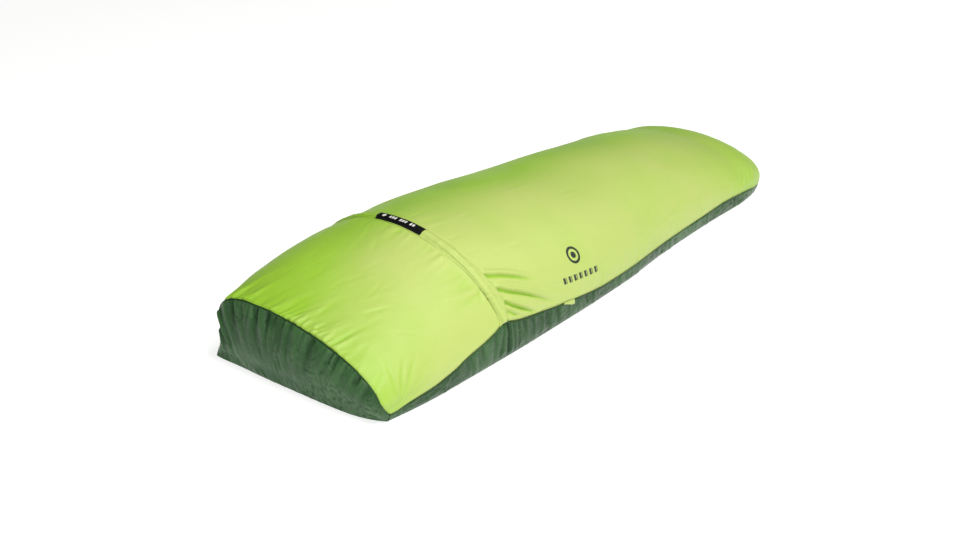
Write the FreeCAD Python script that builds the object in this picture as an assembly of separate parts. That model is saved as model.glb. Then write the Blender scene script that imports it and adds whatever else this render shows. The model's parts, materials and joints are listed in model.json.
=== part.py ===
# Bivy sack, filled shape, as an assembly of sewn panels, zip and trim.
# Millimetres. +X runs from head to foot, +Z is up, the floor cloth lies on z = 0.
import FreeCAD, Part
import math, os

V = FreeCAD.Vector

# ---------------------------------------------------------------- driving dimensions
LENGTH = 2080.0          # head arch to foot tip
X_SHIFT = -1040.0        # head arch sits at x = -1040, foot tip at x = +1040
TAPER_X = 1720.0         # where the foot end starts to round off, from the head
BULGE_Z = 70.0           # height of the widest line of the side walls
FLOOR_IN = 20.0          # floor edge stands this much inside the widest line
CLOTH = 1.6              # shell thickness that stands in for the cloth
FLOOR_T = 1.5            # floor cloth shell
SEAM_R = 1.6             # radius of a sewn seam ridge
SEAM_GAP = 3.0           # panel edge to seam centre line
FOOT_X = 2072.0          # foot wall plane
HEAD_BULGE = 34.0        # how far the head panel bows out
STATION = [0.0, 250.0, 500.0, 800.0, 1100.0, 1400.0, 1720.0]
CROWN = [221.0, 301.0, 335.0, 321.0, 289.0, 267.0, 202.0]      # crown height
W_RIGHT = [321.0, 342.0, 343.0, 337.0, 324.0, 292.0, 276.0]    # half width, right side
W_LEFT = [297.0, 332.0, 348.0, 346.0, 337.0, 308.0, 296.0]     # half width, left side
SHIFT_X = [0.0, 300.0, 700.0, 2100.0]
SHIFT_Y = [108.0, 23.0, 0.0, 0.0]                              # crown's sideways shift
POW_X = [0.0, 600.0, 1800.0, 2100.0]
POW_RIGHT = [1.701, 2.0, 1.926, 1.926]                         # section roundness, right
POW_LEFT = [3.177, 2.39, 2.012, 2.012]                         # section roundness, left
PLAN_POW, SIDE_POW, TIP_H = 3.38, 2.195, 50.0                  # foot end rounding
SEAM = [(0, 25), (37, 25), (56, 25.5), (88, 33), (125, 39), (160, 43), (199, 48), (238, 56), (278, 64),
        (319, 77), (363, 87), (407, 96), (453, 109), (490, 121), (541, 110), (585, 101), (631, 94),
        (678, 87), (726, 79.5), (775, 73), (826, 66), (876, 60), (930, 54), (985, 50), (1094, 49),
        (1216, 49), (1348, 48), (1473, 48.5), (1600, 50), (1723, 54), (1848, 48), (1968, 27), (2072, 21)]
HEAD_CORNER_X = 37.0     # where the side seam meets the head arch
# zip: an arc of a circle in a plane that leans towards the head
ZIP_X, ZIP_Z = 495.0, 122.0      # right-hand end of the zip
ZIP_LEAN = math.atan2(35.0, 210.0)
ZIP_CY, ZIP_CV, ZIP_R = 17.0, -177.0, 401.0
ZIP_END_R, ZIP_END_L = -62.3, 54.5     # body tape, degrees from the crown
HOOD_END_R, HOOD_END_L = -58.5, 50.2   # hood tape
FLAP_END_R, FLAP_END_L = -59.5, 49.5
TAPE_W, TAPE_T = 11.5, 1.5
COIL_W, COIL_H = 3.0, 1.7
PANEL_N = 13.2           # panel edge to zip centre line
SLIDER_AT = 52.9         # parked at the left end: zip closed
PULL_LEN, PULL_W, PULL_T = 23.0, 4.2, 1.2
PIN_C, PIN_R, BORE_R = 4.45, 0.5, 0.56
LABEL_Y = (-60.0, 90.0)
TAB_X = (772.0, 818.0)
TAB_Z = (56.0, 82.0)


def pchip(xs, ys):
    n = len(xs)
    h = [xs[i + 1] - xs[i] for i in range(n - 1)]
    d = [(ys[i + 1] - ys[i]) / h[i] for i in range(n - 1)]
    m = [0.0] * n
    for i in range(1, n - 1):
        if d[i - 1] * d[i] > 0:
            w1, w2 = 2 * h[i] + h[i - 1], h[i] + 2 * h[i - 1]
            m[i] = (w1 + w2) / (w1 / d[i - 1] + w2 / d[i])

    def end(h0, h1, d0, d1):
        s = ((2 * h0 + h1) * d0 - h0 * d1) / (h0 + h1)
        if s * d0 <= 0:
            return 0.0
        if d0 * d1 <= 0 and abs(s) > 3 * abs(d0):
            return 3 * d0
        return s
    m[0] = end(h[0], h[1], d[0], d[1])
    m[-1] = end(h[-1], h[-2], d[-1], d[-2])

    def f(x):
        x = min(max(x, xs[0]), xs[-1])
        i = 0
        while i < n - 2 and x > xs[i + 1]:
            i += 1
        t = (x - xs[i]) / h[i]
        return ((1 + 2 * t) * (1 - t) ** 2 * ys[i] + t * (1 - t) ** 2 * h[i] * m[i]
                + t * t * (3 - 2 * t) * ys[i + 1] + t * t * (t - 1) * h[i] * m[i + 1])
    return f


f_h, f_wr, f_wl = pchip(STATION, CROWN), pchip(STATION, W_RIGHT), pchip(STATION, W_LEFT)
f_yc = pchip(SHIFT_X, SHIFT_Y)
f_pr, f_pl = pchip(POW_X, POW_RIGHT), pchip(POW_X, POW_LEFT)
f_seam_r = pchip([float(a) for a, b in SEAM], [float(b) for a, b in SEAM])


def f_seam_l(x):
    return f_seam_r(x) + 43.0 * math.exp(-((x - 489.0) / 95.0) ** 2)


def ending(x, p):
    t = min(max((x - TAPER_X) / (LENGTH - TAPER_X), 0.0), 1.0)
    return (1 - t ** p) ** (1 / p)


cosL, sinL = math.cos(ZIP_LEAN), math.sin(ZIP_LEAN)
ZN = V(cosL, 0, sinL)            # normal of the zip plane, towards the foot
ZU = V(-sinL, 0, cosL)           # up within the zip plane
ZC = V(ZIP_X, ZIP_CY, ZIP_Z) + ZU * ZIP_CV


_arc_off = []


def to_arc(p):
    """Draw the cloth near the zip onto the zip's circle, keeping its own slope along the sack."""
    if not _arc_off:
        return p
    d = p - V(ZIP_X, ZIP_CY, ZIP_Z)
    n, v = d.dot(ZN), d.dot(ZU)
    y = d.y
    g = math.exp(-(n / 120.0) ** 2)
    lo, hi = (-70.0, -2.0) if y < 0 else (-25.0, 44.0)
    r = min(max((v - lo) / (hi - lo), 0.0), 1.0)
    g *= r * r * (3 - 2 * r)
    f = math.degrees(math.atan2(y, v - ZIP_CV))
    t = min(max((f + 75.0) / 3.0, 0.0), len(_arc_off) - 1.001)
    k = int(t)
    off = _arc_off[k] + (t - k) * (_arc_off[k + 1] - _arc_off[k])
    f = math.radians(f)
    return p + (V(0, 1, 0) * math.sin(f) + ZU * math.cos(f)) * (g * off)


_cache = {}


def section(x):
    """Half outline, right floor edge over the crown to left floor edge: list of (arc, y, z)."""
    key = round(x, 3)
    if key in _cache:
        return _cache[key]
    xm = min(x, TAPER_X)
    h = max(f_h(xm) * ending(x, SIDE_POW), TIP_H)
    yc = f_yc(x)
    wr = f_wr(xm) * ending(x, PLAN_POW) + yc
    wl = f_wl(xm) * ending(x, PLAN_POW) - yc
    z0 = min(BULGE_Z, 0.35 * h)
    pts = []
    for i in range(13):
        t = math.radians(90.0 * (12 - i) / 12)
        b = max(wr - FLOOR_IN, 0.9 * wr)
        pts.append((yc - (b + (wr - b) * math.cos(t)), z0 * (1 - math.sin(t))))
    for i in range(1, 120):
        th = math.radians(-90 + 1.5 * i)
        w, p = (wr, f_pr(x)) if th < 0 else (wl, f_pl(x))
        s = -1 if th < 0 else 1
        pts.append((yc + s * w * abs(math.sin(th)) ** (2 / p), z0 + (h - z0) * abs(math.cos(th)) ** (2 / p)))
    for i in range(13):
        t = math.radians(90.0 * i / 12)
        b = max(wl - FLOOR_IN, 0.9 * wl)
        pts.append((yc + (b + (wl - b) * math.cos(t)), z0 * (1 - math.sin(t))))
    out, a = [], 0.0
    for i, (y, z) in enumerate(pts):
        if i:
            a += math.hypot(y - pts[i - 1][0], z - pts[i - 1][1])
        out.append((a, y, z))
    _cache[key] = out
    return out


def at_arc(x, a):
    c = section(x)
    a = min(max(a, 0.0), c[-1][0])
    lo, hi = 0, len(c) - 1
    while hi - lo > 1:
        m = (lo + hi) // 2
        if c[m][0] <= a:
            lo = m
        else:
            hi = m
    t = (a - c[lo][0]) / max(c[hi][0] - c[lo][0], 1e-9)
    return c[lo][1] + t * (c[hi][1] - c[lo][1]), c[lo][2] + t * (c[hi][2] - c[lo][2])


def arc_of_z(x, z, side):
    c = section(x)
    seq = range(len(c) - 1) if side < 0 else range(len(c) - 1, 0, -1)
    for i in seq:
        j = i + 1 if side < 0 else i - 1
        z1, z2 = c[i][2], c[j][2]
        if z1 <= z <= z2:
            t = (z - z1) / max(z2 - z1, 1e-9)
            return c[i][0] + t * (c[j][0] - c[i][0])
    return c[0][0] if side < 0 else c[-1][0]


def skin(x, a):
    y, z = at_arc(x, a)
    return to_arc(V(x, y, z))


def row(p):
    return V(p.x + X_SHIFT, p.y, p.z)


def normals(g, centre):
    n, m = len(g), len(g[0])
    out = []
    for i in range(n):
        r = []
        for j in range(m):
            du = g[min(i + 1, n - 1)][j] - g[max(i - 1, 0)][j]
            dv = g[i][min(j + 1, m - 1)] - g[i][max(j - 1, 0)]
            c = du.cross(dv)
            c.normalize()
            r.append(c)
        out.append(r)
    i, j = n // 2, m // 2
    if out[i][j].dot(g[i][j] - centre) < 0:
        out = [[c * -1 for c in r] for r in out]
    return out


def shell(g, centre, t=CLOTH, lift=0.0):
    """Closed solid between a grid of points and its inward offset."""
    nn = normals(g, centre)
    top = [[row(p + q * lift) for p, q in zip(a, b)] for a, b in zip(g, nn)]
    bot = [[row(p + q * (lift - t)) for p, q in zip(a, b)] for a, b in zip(g, nn)]

    def surf(pts):
        s = Part.BSplineSurface()
        s.interpolate(pts)
        return s
    s1, s2 = surf(top), surf(bot)
    u = s1.bounds()
    w = s2.bounds()
    e1 = [s1.uIso(u[0]), s1.vIso(u[3]), s1.uIso(u[1]), s1.vIso(u[2])]
    e2 = [s2.uIso(w[0]), s2.vIso(w[3]), s2.uIso(w[1]), s2.vIso(w[2])]
    faces = [s1.toShape(), s2.toShape()]
    for a, b in zip(e1, e2):
        faces.append(Part.makeRuledSurface(a.toShape(), b.toShape()))
    sh = Part.Shell(faces)
    sh.sewShape()
    so = Part.Solid(sh)
    if so.Volume < 0:
        so.reverse()
    return so


def spread(a, b, n):
    return [a + (b - a) * i / (n - 1.0) for i in range(n)]


def arch_x(z):
    return HEAD_CORNER_X * max(0.0, (80.0 - z) / 55.0) ** 1.5


def cross_limits(x, gap=SEAM_GAP):
    return arc_of_z(x, f_seam_r(x), -1) + gap, arc_of_z(x, f_seam_l(x), 1) - gap


def solve_plane(s, n_off):
    x = ZIP_X
    for _ in range(14):
        a0, a1 = cross_limits(x)
        p = skin(x, a0 + s * (a1 - a0))
        x = 0.5 * x + 0.5 * (ZIP_X + (n_off - (p.z - ZIP_Z) * sinL) / cosL)
    return x


def solve_arch(s, gap=0.0):
    x = 10.0
    for _ in range(16):
        a0, a1 = cross_limits(x)
        p = skin(x, a0 + s * (a1 - a0))
        x = 0.5 * x + 0.5 * (arch_x(p.z) + gap)
    return x


def zip_point(deg, r=ZIP_R, n=0.0):
    f = math.radians(deg)
    return ZC + V(0, 1, 0) * (r * math.sin(f)) + ZU * (r * math.cos(f)) + ZN * n


def ring(profile, a0, a1):
    """Revolve a polygon given as (n, r) about the zip circle's axis from a0 to a1 degrees."""
    pts = [row(zip_point(a1, r, n)) for n, r in profile]
    f = Part.Face(Part.makePolygon(pts + [pts[0]]))
    s = f.revolve(row(ZC), ZN, a1 - a0)
    if s.Volume < 0:
        s.reverse()
    return s


def arc_offsets():
    """Distance from the plain cloth to the zip's circle, every 3 degrees from -75 to 75."""
    pts = []
    for i in range(61):
        s, x = i / 60.0, ZIP_X
        for _ in range(14):
            a0, a1 = cross_limits(x, 0.0)
            p = skin(x, a0 + s * (a1 - a0))
            x = 0.5 * x + 0.5 * (ZIP_X - (p.z - ZIP_Z) * sinL / cosL)
        d = p - ZC
        pts.append((math.degrees(math.atan2(d.y, d.dot(ZU))), math.hypot(d.y, d.dot(ZU))))
    out = []
    for k in range(51):
        f = -75.0 + 3.0 * k
        if f <= pts[0][0]:
            out.append(ZIP_R - pts[0][1])
        elif f >= pts[-1][0]:
            out.append(ZIP_R - pts[-1][1])
        else:
            for a, b in zip(pts, pts[1:]):
                if a[0] <= f <= b[0]:
                    out.append(ZIP_R - (a[1] + (b[1] - a[1]) * (f - a[0]) / (b[0] - a[0])))
                    break
    return out


_arc_off.extend(arc_offsets())
parts = {}
CENTRE = V(1000, 0, 60)

# ---------------------------------------------------------------- canopy
cols = [0.0, .02, .05, .09] + spread(.14, .86, 19) + [.91, .95, .98, 1.0]
xc = [472, 488, 510, 540, 585, 650, 740, 850, 970, 1090, 1210, 1330, 1450, 1560, 1650, 1720, 1780, 1835, 1885,
      1930, 1968, 2000, 2026, 2046, 2060, 2068, FOOT_X]
start = [solve_plane(s, PANEL_N) for s in cols]
grid = []
for x in xc:
    u = (x - 472.0) / (FOOT_X - 472.0)
    line = []
    for s, xs in zip(cols, start):
        xx = xs + (FOOT_X - xs) * u
        a0, a1 = cross_limits(xx)
        line.append(skin(xx, a0 + s * (a1 - a0)))
    grid.append(line)
parts["canopy_panel"] = shell(grid, CENTRE)

# ---------------------------------------------------------------- hood
s0 = [solve_arch(s, 2.3) for s in cols]
s1 = [solve_plane(s, -PANEL_N) for s in cols]
grid = []
for u in [0, .03, .08, .15, .23, .31, .39, .47, .55, .63, .71, .79, .86, .92, .965, 1.0]:
    line = []
    for s, xa, xb in zip(cols, s0, s1):
        xx = xa + (xb - xa) * u
        a0, a1 = cross_limits(xx)
        line.append(skin(xx, a0 + s * (a1 - a0)))
    grid.append(line)
parts["hood_panel"] = shell(grid, V(250, 0, 60))

# ---------------------------------------------------------------- side walls
xw = [HEAD_CORNER_X + 2.5, 55, 80, 115, 160, 210, 265, 320, 375, 420, 455, 478, 492, 506, 530, 565, 610, 670, 740, 820,
      910, 1010, 1120, 1240, 1360, 1480, 1590, 1680, 1750, 1810, 1865, 1915, 1955, 1990, 2018, 2040, 2056, 2066,
      FOOT_X]
BASE_Z = FLOOR_T + 0.5
for side, name, fz in ((-1, "right_side_wall", f_seam_r), (1, "left_side_wall", f_seam_l)):
    grid = []
    for x in xw:
        a0 = arc_of_z(x, BASE_Z, side)
        a1 = arc_of_z(x, fz(x), side) + side * SEAM_GAP
        grid.append([skin(x, a0 + (a1 - a0) * t) for t in [0, .12, .25, .4, .55, .7, .85, 1.0]])
    parts[name] = shell(grid, V(1000, 0, 50))

# ---------------------------------------------------------------- head end panel
XH = HEAD_CORNER_X


def floor_half(x, side):
    y, z = at_arc(x, arc_of_z(x, BASE_Z, side))
    return y


yr, yl = floor_half(XH, -1), floor_half(XH, 1)


def head_floor(s):
    k = abs(1 - 2 * s)
    return V(XH * k ** 5 - 14.0 * (1 - k ** 3), yr + (yl - yr) * s, BASE_Z)


sh = [0.0, .015, .04, .07] + spread(.11, .89, 17) + [.93, .96, .985, 1.0]
arch = []
for s in sh:
    x = solve_arch(s)
    a0, a1 = cross_limits(x, 0.0)
    arch.append(skin(x, a0 + s * (a1 - a0)))
grid = []
for t in [0, .05, .12, .22, .34, .46, .58, .70, .82, .92, 1.0]:
    line = []
    for s, a in zip(sh, arch):
        d = V(a.x, 0.55 * a.y + 10, 40) - a
        d.normalize()
        top = a + d * 2.4 + V(-1.6, 0, 0)
        if s < .02 or s > .98:
            top = a + V(-1.6, 0, -2.2)
        b = head_floor(s)
        k = (4 * s * (1 - s)) ** 0.6
        p = top + (b - top) * t
        p.x -= HEAD_BULGE * k * math.sin(math.pi * t) ** 0.75 * (1 - .25 * t)
        line.append(p)
    grid.append(line)
parts["head_end_panel"] = shell(grid, V(300, 0, 80))

# ---------------------------------------------------------------- foot wall
c = section(FOOT_X)
yc_f = f_yc(FOOT_X)
w_r = -min(p[1] for p in c)
w_l = max(p[1] for p in c)


def foot_limits(y):
    """Lowest and highest z of the foot outline at y."""
    zs = []
    for i in range(len(c) - 1):
        if (c[i][1] - y) * (c[i + 1][1] - y) <= 0 and c[i][1] != c[i + 1][1]:
            t = (y - c[i][1]) / (c[i + 1][1] - c[i][1])
            zs.append(c[i][2] + t * (c[i + 1][2] - c[i][2]))
    hi = max(zs)
    lo = min(zs) if min(zs) < min(BULGE_Z, .35 * hi) else 0.0
    return max(lo, BASE_Z), hi


low, top = [], []
for s in spread(-1, 1, 61):
    y = s * (w_r if s < 0 else w_l) * .965
    lo, hi = foot_limits(y)
    hi = max(hi - CLOTH - 2.2, lo + 1.2)
    low.append(V(FOOT_X + .9, y * .94, lo + .3))
    top.append(V(FOOT_X + .9, y * .94, lo + (hi - lo) * .92))
pts = [row(p) for p in low + top[::-1]]
parts["foot_end_wall"] = Part.Face(Part.makePolygon(pts + [pts[0]])).extrude(V(CLOTH, 0, 0))

# ---------------------------------------------------------------- floor
pts = []
for s in spread(0, 1, 41):
    p = head_floor(s)
    pts.append(V(p.x, p.y, 0))
for x in xw[1:]:
    pts.append(V(x, floor_half(x, 1), 0))
for x in reversed(xw[1:]):
    pts.append(V(x, floor_half(x, -1), 0))
pts = [row(p) for p in pts]
parts["floor_sheet"] = Part.Face(Part.makePolygon(pts + [pts[0]])).extrude(V(0, 0, FLOOR_T))

# ---------------------------------------------------------------- seam ridges
for side, name, fz in ((-1, "right_side_seam", f_seam_r), (1, "left_side_seam", f_seam_l)):
    grid = []
    for x in [XH + 4, 55, 80, 115, 160, 210, 265, 320, 375, 420, 455, 475, 487, 500, 515, 540, 580, 640, 710, 800, 900,
              1000, 1120, 1240, 1360, 1480, 1600, 1690, 1760, 1820, 1880, 1930, 1970, 2005, 2032, 2052, 2064, 2071]:
        a = arc_of_z(x, fz(x), side)
        grid.append([skin(x, a - SEAM_R), skin(x, a), skin(x, a + SEAM_R)])
    parts[name] = shell(grid, V(1000, 0, 50), 2.6, 0.9)
grid = []
for s in [.012, .03, .06] + spread(.10, .90, 25) + [.94, .97, .988]:
    x = solve_arch(s)
    a0, a1 = cross_limits(x, 0.0)
    p = skin(x, a0 + s * (a1 - a0))
    d = V(0, 0.55 * p.y + 10, 40) - V(0, p.y, p.z)
    d.normalize()
    grid.append([p + V(1.5, 0, 0) - d * .6, p + V(-1.2, 0, 0) - d * .6, p + V(-2.2, 0, 0) + d * .5])
parts["head_seam"] = shell(grid, V(60, 20, 60), 1.6)
grid = []
for s in spread(-.93, .93, 25):
    y = s * (w_r if s < 0 else w_l)
    hi = foot_limits(y)[1]
    grid.append([V(FOOT_X + .5, y, hi + .8), V(FOOT_X + 1.8, y, hi + .5), V(FOOT_X + 2.6, y, hi + .1)])
parts["foot_seam"] = shell(grid, V(1900, 0, 0), 1.2)

# ---------------------------------------------------------------- side tabs
for side, name, fz in ((-1, "right_side_tab", f_seam_r), (1, "left_side_tab", f_seam_l)):
    grid = []
    for x in spread(TAB_X[0], TAB_X[1], 5):
        a0, a1 = arc_of_z(x, TAB_Z[0], side), arc_of_z(x, TAB_Z[1], side)
        line = []
        for t in spread(0, 1, 5):
            line.append(skin(x, a0 + (a1 - a0) * t))
        grid.append(line)
    parts[name] = shell(grid, V(800, 0, 60), 1.6, 3.2)

# ---------------------------------------------------------------- zip
R = ZIP_R
parts["body_zip_tape"] = ring([(.7, R - TAPE_T), (TAPE_W, R - TAPE_T), (TAPE_W, R), (.7, R)], ZIP_END_R, ZIP_END_L)
parts["hood_zip_tape"] = ring([(-.7, R - TAPE_T), (-TAPE_W, R - TAPE_T), (-TAPE_W, R), (-.7, R)],
                              HOOD_END_R, HOOD_END_L)
coil = [(.55, R + .25), (.55 + COIL_W, R + .25), (.55 + COIL_W, R + 1.2), (.55 + COIL_W - .8, R + COIL_H + .2),
        (.55 + .6, R + COIL_H + .2), (.55, R + 1.4)]
parts["body_zip_coil"] = ring(coil, ZIP_END_R + .6, ZIP_END_L - .6)
parts["hood_zip_coil"] = ring([(-n, r) for n, r in coil], HOOD_END_R + .4, HOOD_END_L - .4)
for name, a, b in (("right_zip_stop", ZIP_END_R - .65, ZIP_END_R - .08), ("left_zip_stop", ZIP_END_L + .08, ZIP_END_L + .65)):
    parts[name] = ring([(-2.4, R - 1.0), (2.4, R - 1.0), (2.4, R + 1.6), (1.6, R + 2.2), (-1.6, R + 2.2), (-2.4, R + 1.6)],
                       a, b)
# the fold line of the hood runs through both zip ends
end_r, end_l = zip_point(-math.degrees(math.acos(177.0 / 401.0))), zip_point(math.degrees(math.acos(222.0 / 401.0)))
axis = end_l - end_r
axis.normalize()

# storm flap: a raised strip, its hood edge sewn down, its foot edge free
FLAP_OUT = [(-23.5, 5.4), (-14.0, 7.3), (-7.0, 7.8), (6.5, 7.8), (10.5, 6.4), (15.5, 2.9)]
FLAP_IN = [(15.5, 1.2), (10.0, 4.6), (6.0, 6.1), (-6.5, 6.1), (-13.5, 5.7), (-23.5, 3.8)]
parts["storm_flap"] = ring([(n, R + c) for n, c in FLAP_OUT + FLAP_IN], FLAP_END_R, FLAP_END_L)
la0 = math.degrees(math.asin((LABEL_Y[0] - ZIP_CY) / R))
la1 = math.degrees(math.asin((LABEL_Y[1] - ZIP_CY) / R))
label = [(-17.0, 6.7), (-14.0, 7.3), (-7.0, 7.8), (6.5, 7.8), (10.5, 6.4), (12.5, 5.0)]
parts["flap_label"] = ring([(n, R + c + .35) for n, c in label] + [(n, R + c + 1.35) for n, c in reversed(label)],
                           la0, la1)


# ---------------------------------------------------------------- slider and pull
def local(shape):
    """Place a shape drawn as x = along the zip, y = across it, z = outward from the tape's face."""
    f = math.radians(SLIDER_AT)
    er = V(0, 1, 0) * math.sin(f) + ZU * math.cos(f)
    et = V(0, 1, 0) * math.cos(f) - ZU * math.sin(f)
    o = row(zip_point(SLIDER_AT))
    m = FreeCAD.Matrix(et.x, -ZN.x, er.x, o.x, et.y, -ZN.y, er.y, o.y, et.z, -ZN.z, er.z, o.z, 0, 0, 0, 1)
    if m.determinant() < 0:
        m = FreeCAD.Matrix(et.x, ZN.x, er.x, o.x, et.y, ZN.y, er.y, o.y, et.z, ZN.z, er.z, o.z, 0, 0, 0, 1)
    shape = shape.copy()
    shape.Placement = FreeCAD.Placement(m)
    return shape


def box(x0, x1, y0, y1, z0, z1):
    return Part.makeBox(x1 - x0, y1 - y0, z1 - z0, V(x0, y0, z0))


top = box(-7, 7, -4.6, 4.6, 2.2, 3.3)
top = top.makeFillet(1.6, [e for e in top.Edges if abs(e.Vertexes[0].Z - e.Vertexes[-1].Z) > .5])
low = box(-7, 7, -4.0, 4.0, -3.0, -1.9)
low = low.makeFillet(1.6, [e for e in low.Edges if abs(e.Vertexes[0].Z - e.Vertexes[-1].Z) > .5])
web = box(.5, 6, -.22, .22, -2.4, 2.7)
PX = -1.5
ears = [box(PX - 1.3, PX + 1.3, a, b, 3.0, 5.3) for a, b in ((-3.6, -2.5), (2.5, 3.6))]
pin = Part.makeCylinder(PIN_R, 6.2, V(PX, -3.1, PIN_C), V(0, 1, 0))
body = top.fuse([low, web, pin] + ears).removeSplitter()
parts["slider_body"] = local(body)

eye = Part.makeCylinder(1.0, PULL_W, V(PX, -PULL_W / 2, PIN_C), V(0, 1, 0))
blade = box(PX + .5, PX + PULL_LEN, -PULL_W / 2, PULL_W / 2, PIN_C - PULL_T / 2, PIN_C + PULL_T / 2)
blade = blade.makeFillet(1.6, [e for e in blade.Edges if abs(e.Vertexes[0].Z - e.Vertexes[-1].Z) > .5
                               and e.Vertexes[0].X > PX + 5])
hole = Part.makeCylinder(BORE_R, 20, V(PX, -10, PIN_C), V(0, 1, 0))
slot = Part.makeCylinder(1.1, 5, V(PX + PULL_LEN - 4, 0, PIN_C - 2.5), V(0, 0, 1))
parts["pull_tab"] = local(eye.fuse(blade).cut(hole).cut(slot).removeSplitter())

# ---------------------------------------------------------------- write
os.makedirs("parts", exist_ok=True)
for old in os.listdir("parts"):
    if old.endswith(".step"):
        os.remove(os.path.join("parts", old))
for name, shape in parts.items():
    if shape.ShapeType != "Solid" and len(shape.Solids) == 1:
        shape = shape.Solids[0]
    m = shape.tessellate(0.3)[0]
    print(name, shape.ShapeType, "valid", shape.isValid(), "vol cm3 %.2f" % (shape.Volume / 1000), "box",
          [round(v, 1) for v in (min(p.x for p in m), max(p.x for p in m), min(p.y for p in m),
                                 max(p.y for p in m), min(p.z for p in m), max(p.z for p in m))])
    shape.exportStep(os.path.join("parts", name + ".step"))
print("fold axis points", row(end_r), row(end_l), "dir", axis)
print("zip circle centre", row(ZC), "normal", ZN)
f = math.radians(SLIDER_AT)
er = V(0, 1, 0) * math.sin(f) + ZU * math.cos(f)
et = V(0, 1, 0) * math.cos(f) - ZU * math.sin(f)
print("pull pin", row(zip_point(SLIDER_AT) + er * PIN_C + et * PX), "er", er, "et", et)
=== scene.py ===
import bpy, math, json
import numpy as np
from mathutils import Vector, Matrix


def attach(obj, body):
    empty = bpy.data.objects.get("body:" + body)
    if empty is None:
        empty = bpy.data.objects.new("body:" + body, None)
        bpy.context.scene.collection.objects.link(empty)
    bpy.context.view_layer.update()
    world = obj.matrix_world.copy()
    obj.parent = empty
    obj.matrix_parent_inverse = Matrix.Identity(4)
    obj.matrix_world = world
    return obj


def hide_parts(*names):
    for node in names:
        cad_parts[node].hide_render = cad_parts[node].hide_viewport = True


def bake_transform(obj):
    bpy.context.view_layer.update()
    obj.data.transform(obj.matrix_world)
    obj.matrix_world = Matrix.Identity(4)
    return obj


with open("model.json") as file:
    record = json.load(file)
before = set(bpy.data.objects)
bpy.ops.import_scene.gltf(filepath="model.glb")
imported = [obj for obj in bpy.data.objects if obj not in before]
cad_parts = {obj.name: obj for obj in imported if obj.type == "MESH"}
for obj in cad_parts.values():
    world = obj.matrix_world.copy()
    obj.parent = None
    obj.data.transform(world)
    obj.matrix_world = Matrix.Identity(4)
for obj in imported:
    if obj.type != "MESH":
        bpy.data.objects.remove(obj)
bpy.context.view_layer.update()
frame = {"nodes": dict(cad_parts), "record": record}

rng = np.random.default_rng(7)

# ------------------------------------------------------------------ camera
AZ, EL = math.radians(-50.672), math.radians(25.893)
cam_data = bpy.data.cameras.new("camera")
cam = bpy.data.objects.new("camera", cam_data)
bpy.context.scene.collection.objects.link(cam)
target = Vector((-0.304, -0.085, 0.1))
back = Vector((math.sin(AZ) * math.cos(EL), -math.cos(AZ) * math.cos(EL), math.sin(EL)))
cam.location = target + back * 5.5
cam.rotation_euler = (-back).to_track_quat("-Z", "Y").to_euler()
cam_data.lens = 68.63
cam_data.sensor_width = 36.0
cam_data.sensor_fit = "HORIZONTAL"
cam_data.clip_end = 100
bpy.context.scene.camera = cam

# ------------------------------------------------------------------ the sack's shape, mm from the head arch
LENGTH, X_SHIFT, TAPER_X, BULGE_Z, FLOOR_IN = 2080.0, -1040.0, 1720.0, 70.0, 20.0
FOOT_X, TIP_H, PLAN_POW, SIDE_POW = 2072.0, 50.0, 3.38, 2.195
STATION = [0.0, 250.0, 500.0, 800.0, 1100.0, 1400.0, 1720.0]
CROWN = [221.0, 301.0, 335.0, 321.0, 289.0, 267.0, 202.0]
W_RIGHT = [321.0, 342.0, 343.0, 337.0, 324.0, 292.0, 276.0]
W_LEFT = [297.0, 332.0, 348.0, 346.0, 337.0, 308.0, 296.0]
SHIFT_X, SHIFT_Y = [0.0, 300.0, 700.0, 2100.0], [108.0, 23.0, 0.0, 0.0]
POW_X = [0.0, 600.0, 1800.0, 2100.0]
POW_RIGHT, POW_LEFT = [1.701, 2.0, 1.926, 1.926], [3.177, 2.39, 2.012, 2.012]
SEAM = [(0, 25), (37, 25), (56, 25.5), (88, 33), (125, 39), (160, 43), (199, 48), (238, 56), (278, 64),
        (319, 77), (363, 87), (407, 96), (453, 109), (490, 121), (541, 110), (585, 101), (631, 94),
        (678, 87), (726, 79.5), (775, 73), (826, 66), (876, 60), (930, 54), (985, 50), (1094, 49),
        (1216, 49), (1348, 48), (1473, 48.5), (1600, 50), (1723, 54), (1848, 48), (1968, 27), (2072, 21)]
HEAD_X = 37.0
ZIP_X, ZIP_Z = 495.0, 122.0
LEAN = math.atan2(35.0, 210.0)
ZIP_CY, ZIP_CV, ZIP_R = 17.0, -177.0, 401.0
HEAD_BULGE, BASE_Z = 34.0, 2.0
cosL, sinL = math.cos(LEAN), math.sin(LEAN)
ZN = np.array([cosL, 0, sinL])
ZU = np.array([-sinL, 0, cosL])
ZC = np.array([ZIP_X, ZIP_CY, ZIP_Z]) + ZU * ZIP_CV


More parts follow.
